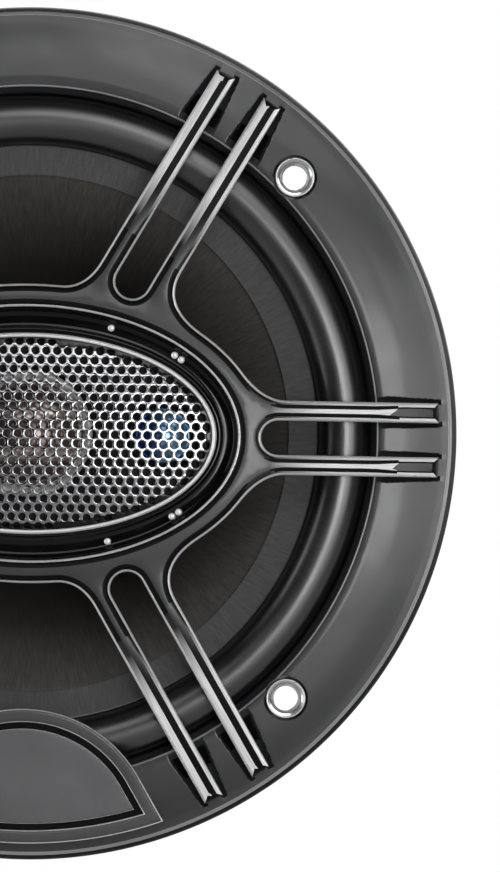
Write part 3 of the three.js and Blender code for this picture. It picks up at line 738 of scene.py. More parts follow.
def make_trim_ring():
    face = [(r, ring_top(r)) for r in np.arange(75.0, 87.4, 0.6)]
    profile = [(OPENING_R, 3.9, 0.2), (OPENING_R - 0.7, 4.9, 0.3), (OPENING_R + 0.3, 5.9, 0.3),
        (OPENING_R + 0.35, RING_TOP - 0.15, 0.75), *face, (88.3, RING_TOP - 2.25, 0.3),
        (89.0, RING_TOP - 2.8, 0.3), (RING_R - 0.3, RING_TOP - 4.0, 0.6), (RING_R, RING_TOP - 5.2, 0.4),
        (RING_R, 1.0, 0.3), (RING_R - 2.4, 1.0, 0.2), (RING_R - 2.4, 3.0, 0.2), (74.9, 3.0, 0.1),
        (74.9, 3.9, 0.1)]
    outline = rounded(profile, 5)
    sections = []
    for angle in ring_angles():
        x, y = math.cos(angle), math.sin(angle)
        section = [(r * x, r * y, z - (pocket_depth(r * x, r * y) if z > 5.5 else 0)) for r, z in outline]
        sections.append(np.array(section))
    ring = make_piece("trim_ring_moulding", *loft(sections), ("satin", "shade", "rim"), pick=ring_material)
    centres = [direction(a) * SCREW_R for a in SCREW_ANGLES]
    subtract(ring, [drum(4.7, 0, 20, c) for c in centres])
    assign(ring, CHASSIS, "satin_black", "trim_ring")
    for angle, centre in zip(SCREW_ANGLES, centres):
        top = ring_top(SCREW_R)
        seat = [(2.55, 3.0, 0.2), (4.15, 3.0, 0.2), (4.15, top + 0.2, 0.3), (3.7, top + 0.2, 0.3),
            (3.2, 5.5, 0.8), (2.55, 5.0, 0.5)]
        lathe(f"screw_seat_{angle}", seat, "seat", CHASSIS, "satin_black", sides=64, centre=centre)


def ring_material(radius, facing):
    """Place in the ring's materials: 1, painted shade, on the outer wall and the pockets' slopes, and 2, a
    light grey painted highlight, on the front's edge and the opening's rounded one."""
    outer_wall, pocket_slope = radius > 88.95, 74.8 < radius < 87 and 0.85 < facing < 0.965
    rim, opening_edge = radius > 88.0, 72.9 < radius < 73.9 and 0.5 < facing < 0.97
    return 1 if outer_wall or pocket_slope else 2 if rim or opening_edge else 0


make_trim_ring()

# ---------------------------------------------------------------- front: grille bridge

HUB_A, HUB_B = 49.4, 31.4
HUB_OPENING = (43.9, 26.6)
HUB_TOP = span("grille_bridge")[1].z
LEVEL_HALF = 12  # bars nearer than this to the middle line are the level ones
BARS_START = 47  # distance from the axis at which the bars leave the hub
BAR_ARCH = ((0, HUB_TOP), (BARS_START, HUB_TOP), (58, HUB_TOP - 0.7), (66, HUB_TOP - 1.8), (73, 14.3),
    (80, 12.4), (86.5, 10.4))


def bridge_top(x, y):
    r = math.hypot(x, y)
    past_opening = (math.hypot(x / HUB_OPENING[0], y / HUB_OPENING[1]) - 1) * 26
    return interpolate(BAR_ARCH, r) - 0.75 * smoothstep(past_opening / 7)


def onto_ring(x, y, height, start, reach):
    """A height that turns into the ring's face beyond the radius start."""
    r = math.hypot(x, y)
    share = smoothstep((r - start) / reach)
    return height * (1 - share) + (ring_top(r) - 0.05) * share


def bridge_bottom(x, y):
    return onto_ring(x, y, bridge_top(x, y) - 3.0, 73.2, 1.4)


def across_bar(x, y):
    """Distance from a bar's middle line, on slanting bars positive towards the hub's short axis."""
    if abs(y) < LEVEL_HALF:
        return abs(y) - BAR_HALF_SPACING
    angle, offset, *_ = BAR_PAIRS[1 if x * y > 0 else 2]
    c, s = direction(angle)
    v = (y * c - x * s) * (1 if y > 0 else -1) - offset
    aside = (abs(v) - BAR_HALF_SPACING) * (1 if v > 0 else -1)
    return aside if x * y > 0 else -aside


def bridge_fillet(x, y):
    """Narrow beyond the arch on level bars, and lopsided on slanting ones."""
    r = math.hypot(x, y)
    if abs(y) < LEVEL_HALF:
        return 1.25 + 0.4 * smoothstep((80 - r) / 8)
    lopsided = 0.25 if across_bar(x, y) > 0 else -0.35
    return 1.6 + lopsided * smoothstep((r - BARS_START) / 6)


class Pair:
    """Two parallel bars along a direction, their middle line offset sideways, and where fillets start."""

    def __init__(self, angle, offset, slot, before, after, before_u, after_u):
        self.angle, self.offset, self.slot = angle, offset, slot
        self.before, self.after, self.before_u, self.after_u = before, after, before_u, after_u

    def at(self, u, v):
        return direction(self.angle) * u + direction(self.angle + 90) * v

    def corner(self, t, v):
        """Where the hub's tangent at t meets the bar edge at v."""
        start = hub_point(t)
        along = np.array((-HUB_A * math.sin(math.radians(t)), HUB_B * math.cos(math.radians(t))))
        normal = direction(self.angle + 90)
        return start + along * ((v - start @ normal) / (along @ normal))


def hub_point(t):
    return oval_point(HUB_A, HUB_B, math.radians(t))


PAIRS = (Pair(0, 0, 48.7, -25.7, 25.7, 54, 54), Pair(60, -2.25, 34.9, 43.2, 82.8, 45.5, 38.8),
    Pair(120, 2.25, 34.9, 97.2, 136.8, 38.8, 45.5), Pair(180, 0, 48.7, 154.3, 205.7, 54, 54),
    Pair(240, -2.25, 34.9, 223.2, 262.8, 45.5, 38.8), Pair(300, 2.25, 34.9, 277.2, 316.8, 38.8, 45.5))


def straight(p, q, spacing=2.1):
    """Points from p up to but not including q."""
    count = max(1, int(np.linalg.norm(q - p) / spacing))
    return [p + (q - p) * k / count for k in range(count)]


def curve(p, corner, q, count=14):
    ts = [k / count for k in range(count)]
    return [p * (1 - t) ** 2 + corner * 2 * t * (1 - t) + q * t**2 for t in ts]


def bridge_outline():
    slot_half = BAR_HALF_SPACING - BAR_WIDTH / 2
    edge = BAR_HALF_SPACING + BAR_WIDTH / 2
    out = []
    for i, pair in enumerate(PAIRS):
        low, high = pair.offset - edge, pair.offset + edge
        inner_low, inner_high = pair.offset - slot_half, pair.offset + slot_half
        end = {v: pair.at(math.sqrt(BAR_END_R**2 - v * v), v) for v in (low, high, inner_low, inner_high)}
        bar_in = pair.at(pair.before_u, low)
        out += curve(hub_point(pair.before), pair.corner(pair.before, low), bar_in)
        out += straight(bar_in, end[low]) + straight(end[low], end[inner_low])
        centre_u = pair.slot + slot_half
        out += straight(end[inner_low], pair.at(centre_u, inner_low))
        for k in range(16):
            a = pair.angle - 90 - 180 * k / 16
            out.append(pair.at(centre_u, pair.offset) + direction(a) * slot_half)
        out += straight(pair.at(centre_u, inner_high), end[inner_high])
        out += straight(end[inner_high], end[high])
        bar_out = pair.at(pair.after_u, high)
        out += straight(end[high], bar_out)
        out += curve(bar_out, pair.corner(pair.after, high), hub_point(pair.after))
        start, stop = pair.after, PAIRS[(i + 1) % 6].before + (360 if i == 5 else 0)
        count = max(2, round((stop - start) / 1.6))
        out += [hub_point(start + (stop - start) * k / count) for k in range(count)]
    return np.array(out)


def bar_kind(x, y, z, kind):
    """Where a bar gets painted highlight: level bars along the middle, slanting ones on the side facing the
    hub's short axis, and all of them along the edges but not round their ends, which get painted shade like
    the slanting bars' middles."""
    r = math.hypot(x, y)
    level = abs(y) < LEVEL_HALF
    on_top = z > bridge_top(x, y) - 0.2
    if r < BARS_START or kind == PLAIN and not on_top:
        return kind
    across = across_bar(x, y)
    if r > BAR_END_R - (0.6 if level else 1.0):
        return TURN
    if level:
        if kind == PLAIN:
            return LAND if r < 77 else PLAIN
        return FLANK if kind == TURN and abs(across) > 1.3 else kind
    if 0.2 < across < 1.6 or across < -1.1 and kind == TURN:
        return FLANK
    return DARKENING if abs(across) < 1.1 else kind


def make_bridge():
    opening = np.array([oval_point(*HUB_OPENING, -2 * math.pi * k / 200) for k in range(200)])
    points, faces, kinds = slab([bridge_outline(), opening], bridge_top, bridge_bottom, bridge_fillet, 1.5)
    for i, face in enumerate(faces):
        x, y, z = points[list(face)].mean(axis=0)
        kinds[i] = bar_kind(x, y, z, kinds[i])
    build("grille_bridge_moulding", (points, faces), EDGED, CHASSIS, "satin_black", "grille_bridge",
        sharp=50, kinds=kinds)
    # the lip inside the hub's opening gets painted shade
    lip = rounded([(0, 11.7, 0.2), (1, 11.7, 0.2), (1, 15.0), (0, 15.0)])
    shape = oval_band(HUB_OPENING, grown(HUB_OPENING, 1.5), lip)
    build("grille_hub_lip", shape, "shade", CHASSIS, "satin_black")


make_bridge()

# ---------------------------------------------------------------- front: bezel and perforated screen

BEZEL_OUTER = (43.85, 26.55)
SCREEN = (39.4, 21.15)
SCREEN_RIM = 13.85
SCREEN_RISE = 2.4
HOLE_PITCH, ROW_PITCH, HOLE_R = 2.26, 1.94, 0.78
TABS = ((16.9, 22.4), (30.3, 16.9), (31.7, 16.0))  # bent ends of the screen, in all four quarters


def make_bezel():
    profile = rounded([(-0.45, 11.6, 0.1), (1, 11.6, 0.1), (1, 14.6, 0.2), (0.93, 14.6, 0.3),
        (0.8, 13.2, 0.6), (0.3, 13.1, 0.6), (0.12, 13.7, 0.3), (0.0, 13.7, 0.2), (0.0, 13.0, 0.1),
        (-0.45, 13.0, 0.1)], 6)
    shape = oval_band((39.65, 21.4), BEZEL_OUTER, profile)
    build("mesh_bezel_band", shape, "gloss", CHASSIS, "gloss_black", "mesh_bezel")


def within(point, oval):
    return math.hypot(point[0] / oval[0], point[1] / oval[1]) < 1


def screen_height(x, y):
    return SCREEN_RIM + SCREEN_RISE * (1 - (x / SCREEN[0]) ** 2 - (y / SCREEN[1]) ** 2)


def hole_share(centre, reach, margin):
    """How much of its reach a hole's corner keeps to stay inside the margin, from a fifth to all of it."""
    return max(k / 20 for k in range(4, 21) if k == 4 or within(centre + reach * k / 20, margin))


def make_screen():
    rim = grown(SCREEN, -0.8)
    room, margin, unshaded_oval = grown(rim, -0.65), grown(rim, -0.5), grown(rim, -1.5)
    circle = [direction(-30 * k) * HOLE_R for k in range(12)]
    loops = [oval_loop(*rim, 220)]
    for j in range(-12, 13):
        for i in range(-20, 21):
            centre = np.array(((i + (j % 2) / 2) * HOLE_PITCH, j * ROW_PITCH))
            if within(centre, room):
                loops.append(np.array([centre + c * hole_share(centre, c, margin) for c in circle]))
    points, faces, _ = slab(loops, screen_height, lowered(screen_height, 0.5), 0.2, 3.0, 3)
    # painted shade: beyond this oval the screen gets the near-black gloss finish instead of steel
    kinds = [0 if within(points[list(face)].mean(axis=0)[:2], unshaded_oval) else 1 for face in faces]
    build("mesh_screen_sheet", (points, faces), ("mesh", "gloss"), CHASSIS, "mesh_steel", "mesh_screen",
        sharp=40, kinds=kinds)
    # the bead round the screen gets the pale painted highlight
    bead = rounded([(0, 13.2, 0.1), (1, 13.2, 0.1), (1, 13.9, 0.3), (0.5, 14.35, 0.5), (0, 14.15, 0.3)])
    build("mesh_screen_bead", oval_band(grown(rim, -0.1), SCREEN, bead), "edge", CHASSIS, "mesh_steel")
    # the tabs get the pale painted highlight, as glints in the black band
    for i, (x, y) in enumerate([(sx * a, sy * b) for a, b in TABS for sx in (-1, 1) for sy in (-1, 1)], 1):
        tab = [(0, 13.05), (0.75, 13.05, 0.1), (0.75, 13.7, 0.45), (0, 13.9)]
        lathe(f"mesh_tab_{i}", tab, "edge", CHASSIS, "mesh_steel", sides=24, centre=(x, y))


make_bezel()
make_screen()

# ---------------------------------------------------------------- front: badge

BADGE_ARCH_R, BADGE_ARCH_Y, BADGE_FLANK = 27.9, -85.7, 60
BADGE_BOTTOM_R = 86.3
BADGE_TOP = span("badge_frame")[1].z
BADGE_BAND, BADGE_GAP = 2.8, 1.4


def badge_outline(inset):
    arch_r, bottom_r = BADGE_ARCH_R - inset, BADGE_BOTTOM_R - inset
    tangent = direction(90 - BADGE_FLANK) * arch_r + (0, BADGE_ARCH_Y)
    down = direction(-BADGE_FLANK)
    half = tangent @ down
    corner = tangent + down * (-half + math.sqrt(half * half - tangent @ tangent + bottom_r**2))
    angle = math.degrees(math.atan2(corner[1], corner[0]))
    turns = np.linspace(90 - BADGE_FLANK, 90 + BADGE_FLANK, 60)
    arch = [direction(a) * arch_r + (0, BADGE_ARCH_Y) for a in turns]
    bottom = [direction(a) * bottom_r for a in np.linspace(-180 - angle, angle, 46)]
    mirrored = corner * (-1, 1)
    return np.array(straight(corner, arch[0]) + arch[:-1] + straight(arch[-1], mirrored) + bottom[:-1])


def badge_top(x, y):
    lean = math.tan(math.radians(9))
    return BADGE_TOP - 0.15 + (y + 57.8) * lean


def badge_bottom(x, y):
    return onto_ring(x, y, badge_top(x, y) - 2.2, 73.0, 1.2)


def make_badge():
    # the back plate, seen in the gap round the face, gets painted shade
    shape = slab([badge_outline(0.5)], lowered(badge_top, 1.2), badge_bottom, 0.1, 2.0)
    build("badge_back", shape[:2], "shade", CHASSIS, "satin_black")
    inner = badge_outline(BADGE_BAND)[::-1]
    # the frame's and, below, the face's outer rounded edges get the pale painted highlight
    *shape, kinds = slab([badge_outline(0), inner], badge_top, badge_bottom, 0.75, 1.2)
    look = ("band", "band", "edge")
    build("badge_frame_band", shape, look, CHASSIS, "satin_black", "badge_frame", sharp=50, kinds=kinds)
    outline = badge_outline(BADGE_BAND + BADGE_GAP)
    *shape, kinds = slab([outline], lowered(badge_top, 0.25), lowered(badge_top, 1.1), 0.35, 1.2)
    look = ("badge", "badge", "edge")
    build("badge_face", shape, look, CHASSIS, "badge_grey", "badge_plate", sharp=50, kinds=kinds)


make_badge()

# ---------------------------------------------------------------- woofer front: surround and cone

LIP_TOP = 3.8
ROLL_MIDDLE, ROLL_HALF, ROLL_RISE, ROLL_FOOT = 66.25, 5.2, 4.1, 0.6
ROLL_BACK = 0.8


def roll_profile(side):
    """Half of the roll's section: side 1 from the outer lip to the crest, -1 from the inner lip."""
    lip_end = 74.6 if side > 0 else 54.6
    foot = ROLL_MIDDLE + side * (ROLL_HALF + ROLL_FOOT)
    top = [(lip_end, LIP_TOP)]
    for k in range(6):
        a = math.radians(90 * k / 5)
        top.append((foot - side * ROLL_FOOT * math.sin(a), LIP_TOP + ROLL_FOOT * (1 - math.cos(a))))
    angles = [*np.linspace(0, 90, 25)[1:-1], 89.6, 90]
    for degrees in angles:
        a = math.radians(degrees)
        height = LIP_TOP + ROLL_FOOT + ROLL_RISE * math.sin(a)
        top.append((ROLL_MIDDLE + side * ROLL_HALF * math.cos(a), height))
    back = []
    for degrees in np.linspace(90, 0, 13):
        a = math.radians(degrees)
        back.append((ROLL_MIDDLE + side * (ROLL_HALF - ROLL_BACK) * math.cos(a),
            LIP_TOP - ROLL_BACK + (ROLL_RISE + ROLL_FOOT) * math.sin(a)))
    back.append((lip_end, LIP_TOP - ROLL_BACK))
    return top + back


def make_surround():
    for side, name in ((1, "outer"), (-1, "inner")):
        points, faces = revolve(roll_profile(side), 256)
        look = ("rubber", "lip")
        half = make_piece(f"surround_{name}", points, faces, look, sharp=60, pick=surround_material)
        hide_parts("surround")
        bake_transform(half)


def surround_material(radius, facing):
    return 1 if radius < 60.35 else 0


CONE_CURVE = ((12.95, -15.4), (19, -14.0), (28, -10.9), (38, -6.4), (48, -0.9), (53.6, 2.2), (54.4, 2.55),
    (60.2, 2.85))


def make_cone():
    radii = [*np.linspace(12.95, 53.4, 34), 53.8, 54.1, 54.4, 55, 60.2]
    front = [(r, interpolate(CONE_CURVE, r)) for r in radii]
    build("woofer_cone", revolve(sheet(front, 0.7), 256), "cone", WOOFER, "cone_poly", "cone", sharp=50)
    ring = [(6.3, -12.4, 0.3), (9.5, -13.2, 2), (12.3, -15.6, 0.3), (12.3, -16.6, 0.2), (9.4, -14.2, 2),
        (6.3, -13.4, 0.3)]
    lathe("dust_ring_felt", ring, "cone", WOOFER, "cone_poly", "dust_ring", sides=96)


make_surround()
make_cone()

# ---------------------------------------------------------------- tweeters in the pod

POD = (38.6, 20.4)
BAFFLE_BACK, BAFFLE_FRONT = span("tweeter_baffle")[0].z, span("tweeter_baffle")[1].z
SIDES = {"left": (-1, LEFT_TWEETER), "right": (1, RIGHT_TWEETER)}
SIDE_X = (span("right_supertweeter_dome")[0].x + span("right_supertweeter_dome")[1].x) / 2


def dome_profile(node, edge, half_width, thickness=0.3):
    """A thin dome of that radius on a rolled edge, at the height of its CAD node."""
    rim, crown = span(node)[0].z + thickness, span(node)[1].z
    rise = crown - rim
    front = []
    for t in np.linspace(0, 1, 18):
        front.append((edge * t, rim + rise * (1 - t * t) ** 0.75 * 0.97 + 0.03 * rise * (1 - t)))
    middle = (edge + half_width) / 2
    roll = (half_width - edge) / 2
    for a in np.linspace(180, 0, 9):
        turn = math.radians(a)
        front.append((middle + roll * math.cos(turn), rim + 0.7 * roll * math.sin(turn)))
    return sheet(front, thickness)


def make_tweeters():
    cup = rounded([(0.083, 2.2, 0.02), (0.88, 2.2, 0.05), (1.0, 7.2, 0.03), (1.0, 10.0, 0.01),
        (0.96, 10.0, 0.01), (0.96, 7.5, 0.03), (0.85, 3.7, 0.05), (0.083, 3.7, 0.02)])
    shape = oval_band((0.1, 0.1), POD, cup)
    build("pod_housing_shell", shape, "pod", CHASSIS, "satin_black", "pod_housing")
    openings = ((0, 13.5), (-SIDE_X, 7.4), (SIDE_X, 7.4))
    loops = [np.array([(x, 0) + direction(-5 * k) * r for k in range(72)]) for x, r in openings]
    shape = slab([oval_loop(38.3, 20.1, 160), *loops], BAFFLE_FRONT, BAFFLE_BACK, 0.3, 3.0, 3)
    build("tweeter_baffle_plate", shape[:2], "pod", CHASSIS, "satin_black", "tweeter_baffle")
    # the tweeter's face ring gets the pale painted highlight
    face_lo, face_hi = span("tweeter_faceplate")
    ring = [(11.8, face_lo.z, 0.1), (13.3, face_lo.z, 0.1), (13.3, face_hi.z - 0.2, 0.4),
        (12.6, face_hi.z + 0.3, 0.5), (11.8, face_hi.z - 0.5, 0.3)]
    lathe("tweeter_face_ring", ring, "edge", CHASSIS, "zinc_steel", "tweeter_faceplate", sides=96)
    shape = revolve(dome_profile("tweeter_dome", 9.7, 11.3), 96)
    build("tweeter_dome_film", shape, "rose", TWEETER, "rose_dome", "tweeter_dome", sharp=60)
    for name, (side, body) in SIDES.items():
        centre = (side * SIDE_X, 0)
        lo, hi = span(f"{name}_supertweeter_ring")
        ring = [(6.2, lo.z, 0.1), (7.2, lo.z, 0.1), (7.2, hi.z - 0.1, 0.3), (6.7, hi.z + 0.15, 0.3),
            (6.2, hi.z - 0.4, 0.2)]
        title = f"{name}_supertweeter"
        lathe(f"{title}_face", ring, "pod", CHASSIS, "satin_black", f"{title}_ring", sides=64, centre=centre)
        shape = revolve(dome_profile(f"{title}_dome", 5.1, 5.8, 0.25), 64, centre)
        build(f"{title}_film", shape, "blue", body, "blue_dome", f"{title}_dome", sharp=60)


make_tweeters()

# ---------------------------------------------------------------- pod, tweeter motors and post

TWEETER_SEAT = BAFFLE_BACK + 0.4


def make_pod_inside():
    lathe("tweeter_winding", block(9.25, 9.6, 7.4, 11.05), "copper", TWEETER,
        "copper", "tweeter_coil", sides=64)
    cup = [(0, 4.2), (12.7, 4.2, 0.6), (12.7, 10.25, 0.3), (10.1, 10.25, 0.3), (10.1, 5.4, 0.2), (0, 5.4)]
    lathe("tweeter_can", cup, "zinc", CHASSIS, "zinc_steel", "tweeter_cup", sides=80)
    magnet = block(0, 8.2, 5.6, 7.8, 0, 0.3, 0.3, 0)
    lathe("tweeter_magnet_disc", magnet, "bright", CHASSIS, "ferrite", "tweeter_magnet", sides=64)
    plate = block(0, 8.8, 8.0, 9.7, 0, 0.2, 0.4, 0)
    lathe("tweeter_pole_disc", plate, "zinc", CHASSIS, "zinc_steel", "tweeter_top_plate", sides=64)
    for name, (side, _) in SIDES.items():
        can = block(0, 6.2, 6.6, TWEETER_SEAT - 0.2, 0, 0.5, 0.3, 0)
        title = f"{name}_supertweeter_capsule"
        lathe(f"{title}_can", can, "ferrite", CHASSIS, "ferrite", title, sides=56, centre=(side * SIDE_X, 0))
        points, faces = revolve(rounded(block(0, 2.2, -4, 4, 0, 0.7, 0.7, 0)), 40)
        lo, hi = span(f"{name}_capacitor")
        points = points[:, [2, 0, 1]] + (lo + hi) / 2
        shape, node = (points, faces), f"{name}_capacitor"
        build(f"{node}_can", shape, "sleeve", CHASSIS, "capacitor_sleeve", node)
    post = [(2.6, -56, 0.3), (5, -56, 0.5), (5, 0.4, 0.5), (9, 0.4, 0.4), (9, 2, 0.4), (2.6, 2, 0.3)]
    lathe("tweeter_post_turned", post, "zinc", CHASSIS, "zinc_steel", "tweeter_post", sides=64)
    points, faces = revolve(np.array(block(5.1, 7.5, 0, 2.3))[:, :2], 48)
    nut = make_piece("post_nut_blank", points + (0, 0, NUT_BACK), faces, "zinc")
    lo, hi = span("post_nut")
    corners = [direction(60 * k) * (hi.x - lo.x) / 2 for k in range(6)]
    sides = [(corners[k], corners[(k + 1) % 6]) for k in range(6)]
    cutters = [flat_cutter(a, b, 2.0, NUT_BACK - 1, NUT_BACK + 4) for a, b in sides]
    assign(subtract(nut, cutters), CHASSIS, "zinc_steel", "post_nut")


def flat_cutter(a, b, depth, z0, z1):
    """A block against the outer side of the line from a to b, longer than it at both ends."""
    along = (b - a) / np.linalg.norm(b - a)
    out = np.array((along[1], -along[0]))
    corners = [a - along, a - along + out * depth, b + along + out * depth, b + along]
    return extrude(np.array(corners), z0, z1)


def extrude(loop, z0, z1):
    """A cutter over the loop from z0 to z1."""
    n = len(loop)
    points = np.concatenate([np.column_stack((loop, np.full(n, z))) for z in (z0, z1)])
    faces = [(i, (i + 1) % n, (i + 1) % n + n, i + n) for i in range(n)]
    return make_piece("cutter", points, [*faces, tuple(range(n)), tuple(range(n, 2 * n))], "satin")


NUT_BACK = span("post_nut")[0].z
make_pod_inside()

# ---------------------------------------------------------------- chassis: gasket and basket

MOTOR_FACE = span("basket")[0].z
SHEET = 1.2
LEG_OUTER, LEG_INNER = (66.5, -8.5), (45, -22.4)
WINDOW_ANGLES = (0, 90, 180, 270)


def screw_drums(radius):
    return [drum(radius, -5, 5, direction(a) * SCREW_R, 40) for a in SCREW_ANGLES]


def make_chassis():
    foam = rounded(block(73.2, 82.2, 0, 1.5, 0.3, 0.3, 0.3, 0.3))
    gasket = subtract(make_piece("gasket_foam_ring", *revolve(foam, 200), "foam"), screw_drums(3.0))
    assign(gasket, CHASSIS, "foam", "mounting_gasket")
    profile = [(82.5, 2.85, 0.4), (71.2, 2.85, 1.2), (69.4, -5, 2), (*LEG_OUTER, 2), (*LEG_INNER, 1.5),
        (38.2, LEG_INNER[1], 1.5), (36.2, MOTOR_FACE + SHEET, 1.5), (15.4, MOTOR_FACE + SHEET, 0.3),
        (15.4, MOTOR_FACE, 0.3), (37.2, MOTOR_FACE, 2.2), (38.8, LEG_INNER[1] - SHEET, 0.5),
        (45.4, LEG_INNER[1] - SHEET, 2.5), (67.4, LEG_OUTER[1] - 0.9, 2.5), (70.6, -5.4, 2.5),
        (72.2, 1.65, 0.3), (82.5, 1.65, 0.4)]
    shell = make_piece("basket_pressing", *revolve(rounded(profile, 5), 240), "paint")
    arc = [direction(a) * 66.5 for a in np.linspace(-28, 28, 24)]
    inner = [direction(a) * 47.5 for a in np.linspace(25, -25, 20)]
    corner_out = [direction(30.6) * 64.5, direction(-30.6) * 64.5]
    corner_in = [direction(28.2) * 49.5, direction(-28.2) * 49.5]
    loop = np.array([corner_in[1], corner_out[1], *arc, corner_out[0], corner_in[0], *inner])
    cutters = []
    for angle in WINDOW_ANGLES:
        c, s = direction(angle)
        cutters.append(extrude(loop @ np.array(((c, s), (-s, c))), -30, -2))
    subtract(shell, cutters + screw_drums(2.6))
    assign(shell, CHASSIS, "painted_steel", "basket")
    for index, angle in enumerate(WINDOW_ANGLES, 1):
        node = f"basket_rivet_{index}"
        lo, hi = span(node)
        head = [(0, lo.z), (2.5, lo.z, 0.1), (2.5, lo.z + 0.35, 0.3), (1.7, hi.z, 0.7), (0, hi.z)]
        centre = direction(angle) * 26
        lathe(f"{node}_head", head, "zinc", CHASSIS, "zinc_steel", node, sides=40, centre=centre)


make_chassis()

# ---------------------------------------------------------------- woofer: coil, spider, motor

SPIDER_Z, SPIDER_HEIGHT, SPIDER_SHEET = -21.75, 1.1, 0.5
SPIDER_FIRST, SPIDER_LAST, SPIDER_TURNS = 15.6, 36.6, 8


def make_spider():
    step = (SPIDER_LAST - SPIDER_FIRST) / SPIDER_TURNS
    turns = [(SPIDER_FIRST, 0)]
    turns += [(SPIDER_FIRST + step * (i + 0.5), SPIDER_HEIGHT * (-1) ** i) for i in range(SPIDER_TURNS)]
    turns.append((SPIDER_LAST, 0))
    for i, ((r0, h0), (r1, h1)) in enumerate(zip(turns, turns[1:])):
        front = []
        for share in (0, 0.02, *np.linspace(0.1, 0.9, 9), 0.98, 1):
            if i == 0:
                rise = math.sin(math.pi / 2 * share)
            elif i == SPIDER_TURNS:
                rise = 1 - math.cos(math.pi / 2 * share)
            else:
                rise = (1 - math.cos(math.pi * share)) / 2
            front.append((r0 + (r1 - r0) * share, SPIDER_Z + h0 + (h1 - h0) * rise))
        shape = revolve(sheet(front, SPIDER_SHEET), 128)
        ring = make_piece(f"spider_wave_{i + 1}", *shape, "cloth", 60)
        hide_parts("spider")
        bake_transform(ring)
    z = SPIDER_Z
    collar = [(12.9, z + 1.6, 0.1), (13.4, z + 1.6, 0.1), (13.8, z, 0.4), (15.6, z), (15.6, z - 0.5),
        (12.9, z - 0.5, 0.1)]
    lathe("spider_collar", collar, "cloth", WOOFER, "spider_cloth", sides=128)
    lip = block(36.6, 43, z, z - 0.5, 0, 0.1, 0.1, 0)
    lathe("spider_lip", lip, "cloth", CHASSIS, "spider_cloth", sides=128)


def make_coil():
    former = block(12.35, 12.55, -39, -14.6)
    lathe("coil_former_tube", former, "kapton", WOOFER, "kapton", "coil_former", sides=96)
    lo, hi = span("voice_coil")
    wire = block(12.6, hi.x, lo.z, hi.z, 0.1, 0.15, 0.15, 0.1)
    lathe("voice_coil_winding", wire, "copper", WOOFER, "copper", "voice_coil", sides=96)


def make_motor():
    lo, hi = span("top_plate")
    plate = block(13.9, 37, lo.z, hi.z, 0.3, 0.6, 0.8, 0.3)
    lathe("motor_front_plate", plate, "zinc", CHASSIS, "zinc_steel", "top_plate", sides=160)
    lo, hi = span("ferrite_magnet")
    magnet = block(18, 40, lo.z, hi.z, 0.5, 1.0, 1.0, 0.5)
    lathe("motor_ferrite_ring", magnet, "ferrite", CHASSIS, "ferrite", "ferrite_magnet", sides=160)
    lo, hi = span("pole_yoke")
    shoulder = lo.z + 6.0
    profile = [(5.2, -53.3, 0.3), (9, -53.3, 0.3), (9, lo.z, 0.5), (35.6, lo.z, 1.2), (37, lo.z + 1.6, 1.2),
        (37, shoulder, 0.6), (11.9, shoulder, 0.4), (11.9, hi.z, 0.6), (5.2, hi.z, 0.4)]
    yoke = make_piece("motor_yoke", *revolve(rounded(profile, 4), 160), "zinc")
    out, side = direction(TERMINAL_ANGLE), direction(TERMINAL_ANGLE + 90)
    groove = np.array([out * u + side * v for u, v in ((0, -1.8), (40, -1.8), (40, 1.8), (0, 1.8))])
    subtract(yoke, [extrude(groove, lo.z - 1, lo.z + 2.4)])
    assign(yoke, CHASSIS, "zinc_steel", "pole_yoke")


TERMINAL_ANGLE = 225
make_spider()
make_coil()
make_motor()

# ---------------------------------------------------------------- terminals and leads

LEAD_ROUTE = ((0, 3.8), (0, -25), (0, -54), (0.7, -56.2), (2.8, -57.1), (12, -57.1), (26, -57.1),
    (37, -57.1), (40.4, -56.2), (41.4, -53), (41.4, -44), (41.4, -36), (42.4, -31.6), (45.6, -28),
    (50.2, -24.8))
TINSEL_ROUTE = ((50.5, -17.6, 6), (46, -17.2, 5.6), (40, -17.6, 5.2), (34, -17, 4.8), (28.5, -14.9, 4.4),
    (24.5, -13.8, 4))


def in_leg_plane(r, z, s=0.0):
    out, side = direction(TERMINAL_ANGLE), direction(TERMINAL_ANGLE + 90)
    return (*(out * r + side * s), z)


def on_board(points):
    """Points x round the speaker, y outwards along the leg and z back from it, in the speaker's frame."""
    slope = math.atan2(LEG_OUTER[1] - LEG_INNER[1], LEG_OUTER[0] - LEG_INNER[0])
    middle_r, middle_z = (LEG_OUTER[0] + LEG_INNER[0]) / 2, (LEG_OUTER[1] + LEG_INNER[1]) / 2
    out = []
    for x, y, z in points:
        r = middle_r + y * math.cos(slope) + z * math.sin(slope)
        out.append(in_leg_plane(r, middle_z + y * math.sin(slope) - z * math.cos(slope), x))
    return np.array(out)


def board_piece(name, loop, z0, z1, material, slot, node, turned=False):
    """A bevelled plate over a loop on the board; turned stands it across the board along x."""
    loop = np.array(loop, float)
    area = ((loop[:, 0] * np.roll(loop[:, 1], -1)) - (np.roll(loop[:, 0], -1) * loop[:, 1])).sum()
    loop = loop if area > 0 else loop[::-1]
    inner = loop + offset_directions(loop) * 0.15
    levels = [(inner, z0), (loop, z0 + 0.15), (loop, z1 - 0.15), (inner, z1)]
    points = np.concatenate([np.column_stack((ring, np.full(len(loop), z))) for ring, z in levels])
    if turned:
        points = points[:, [0, 2, 1]]
    n = len(loop)
    faces = []
    for low, high in ((0, n), (n, 2 * n), (2 * n, 3 * n)):
        faces += [(low + i, low + (i + 1) % n, high + (i + 1) % n, high + i) for i in range(n)]
    faces += [tuple(range(n)), tuple(range(3 * n, 4 * n))]
    return assign(make_piece(name, on_board(points), faces, material), CHASSIS, slot, node)


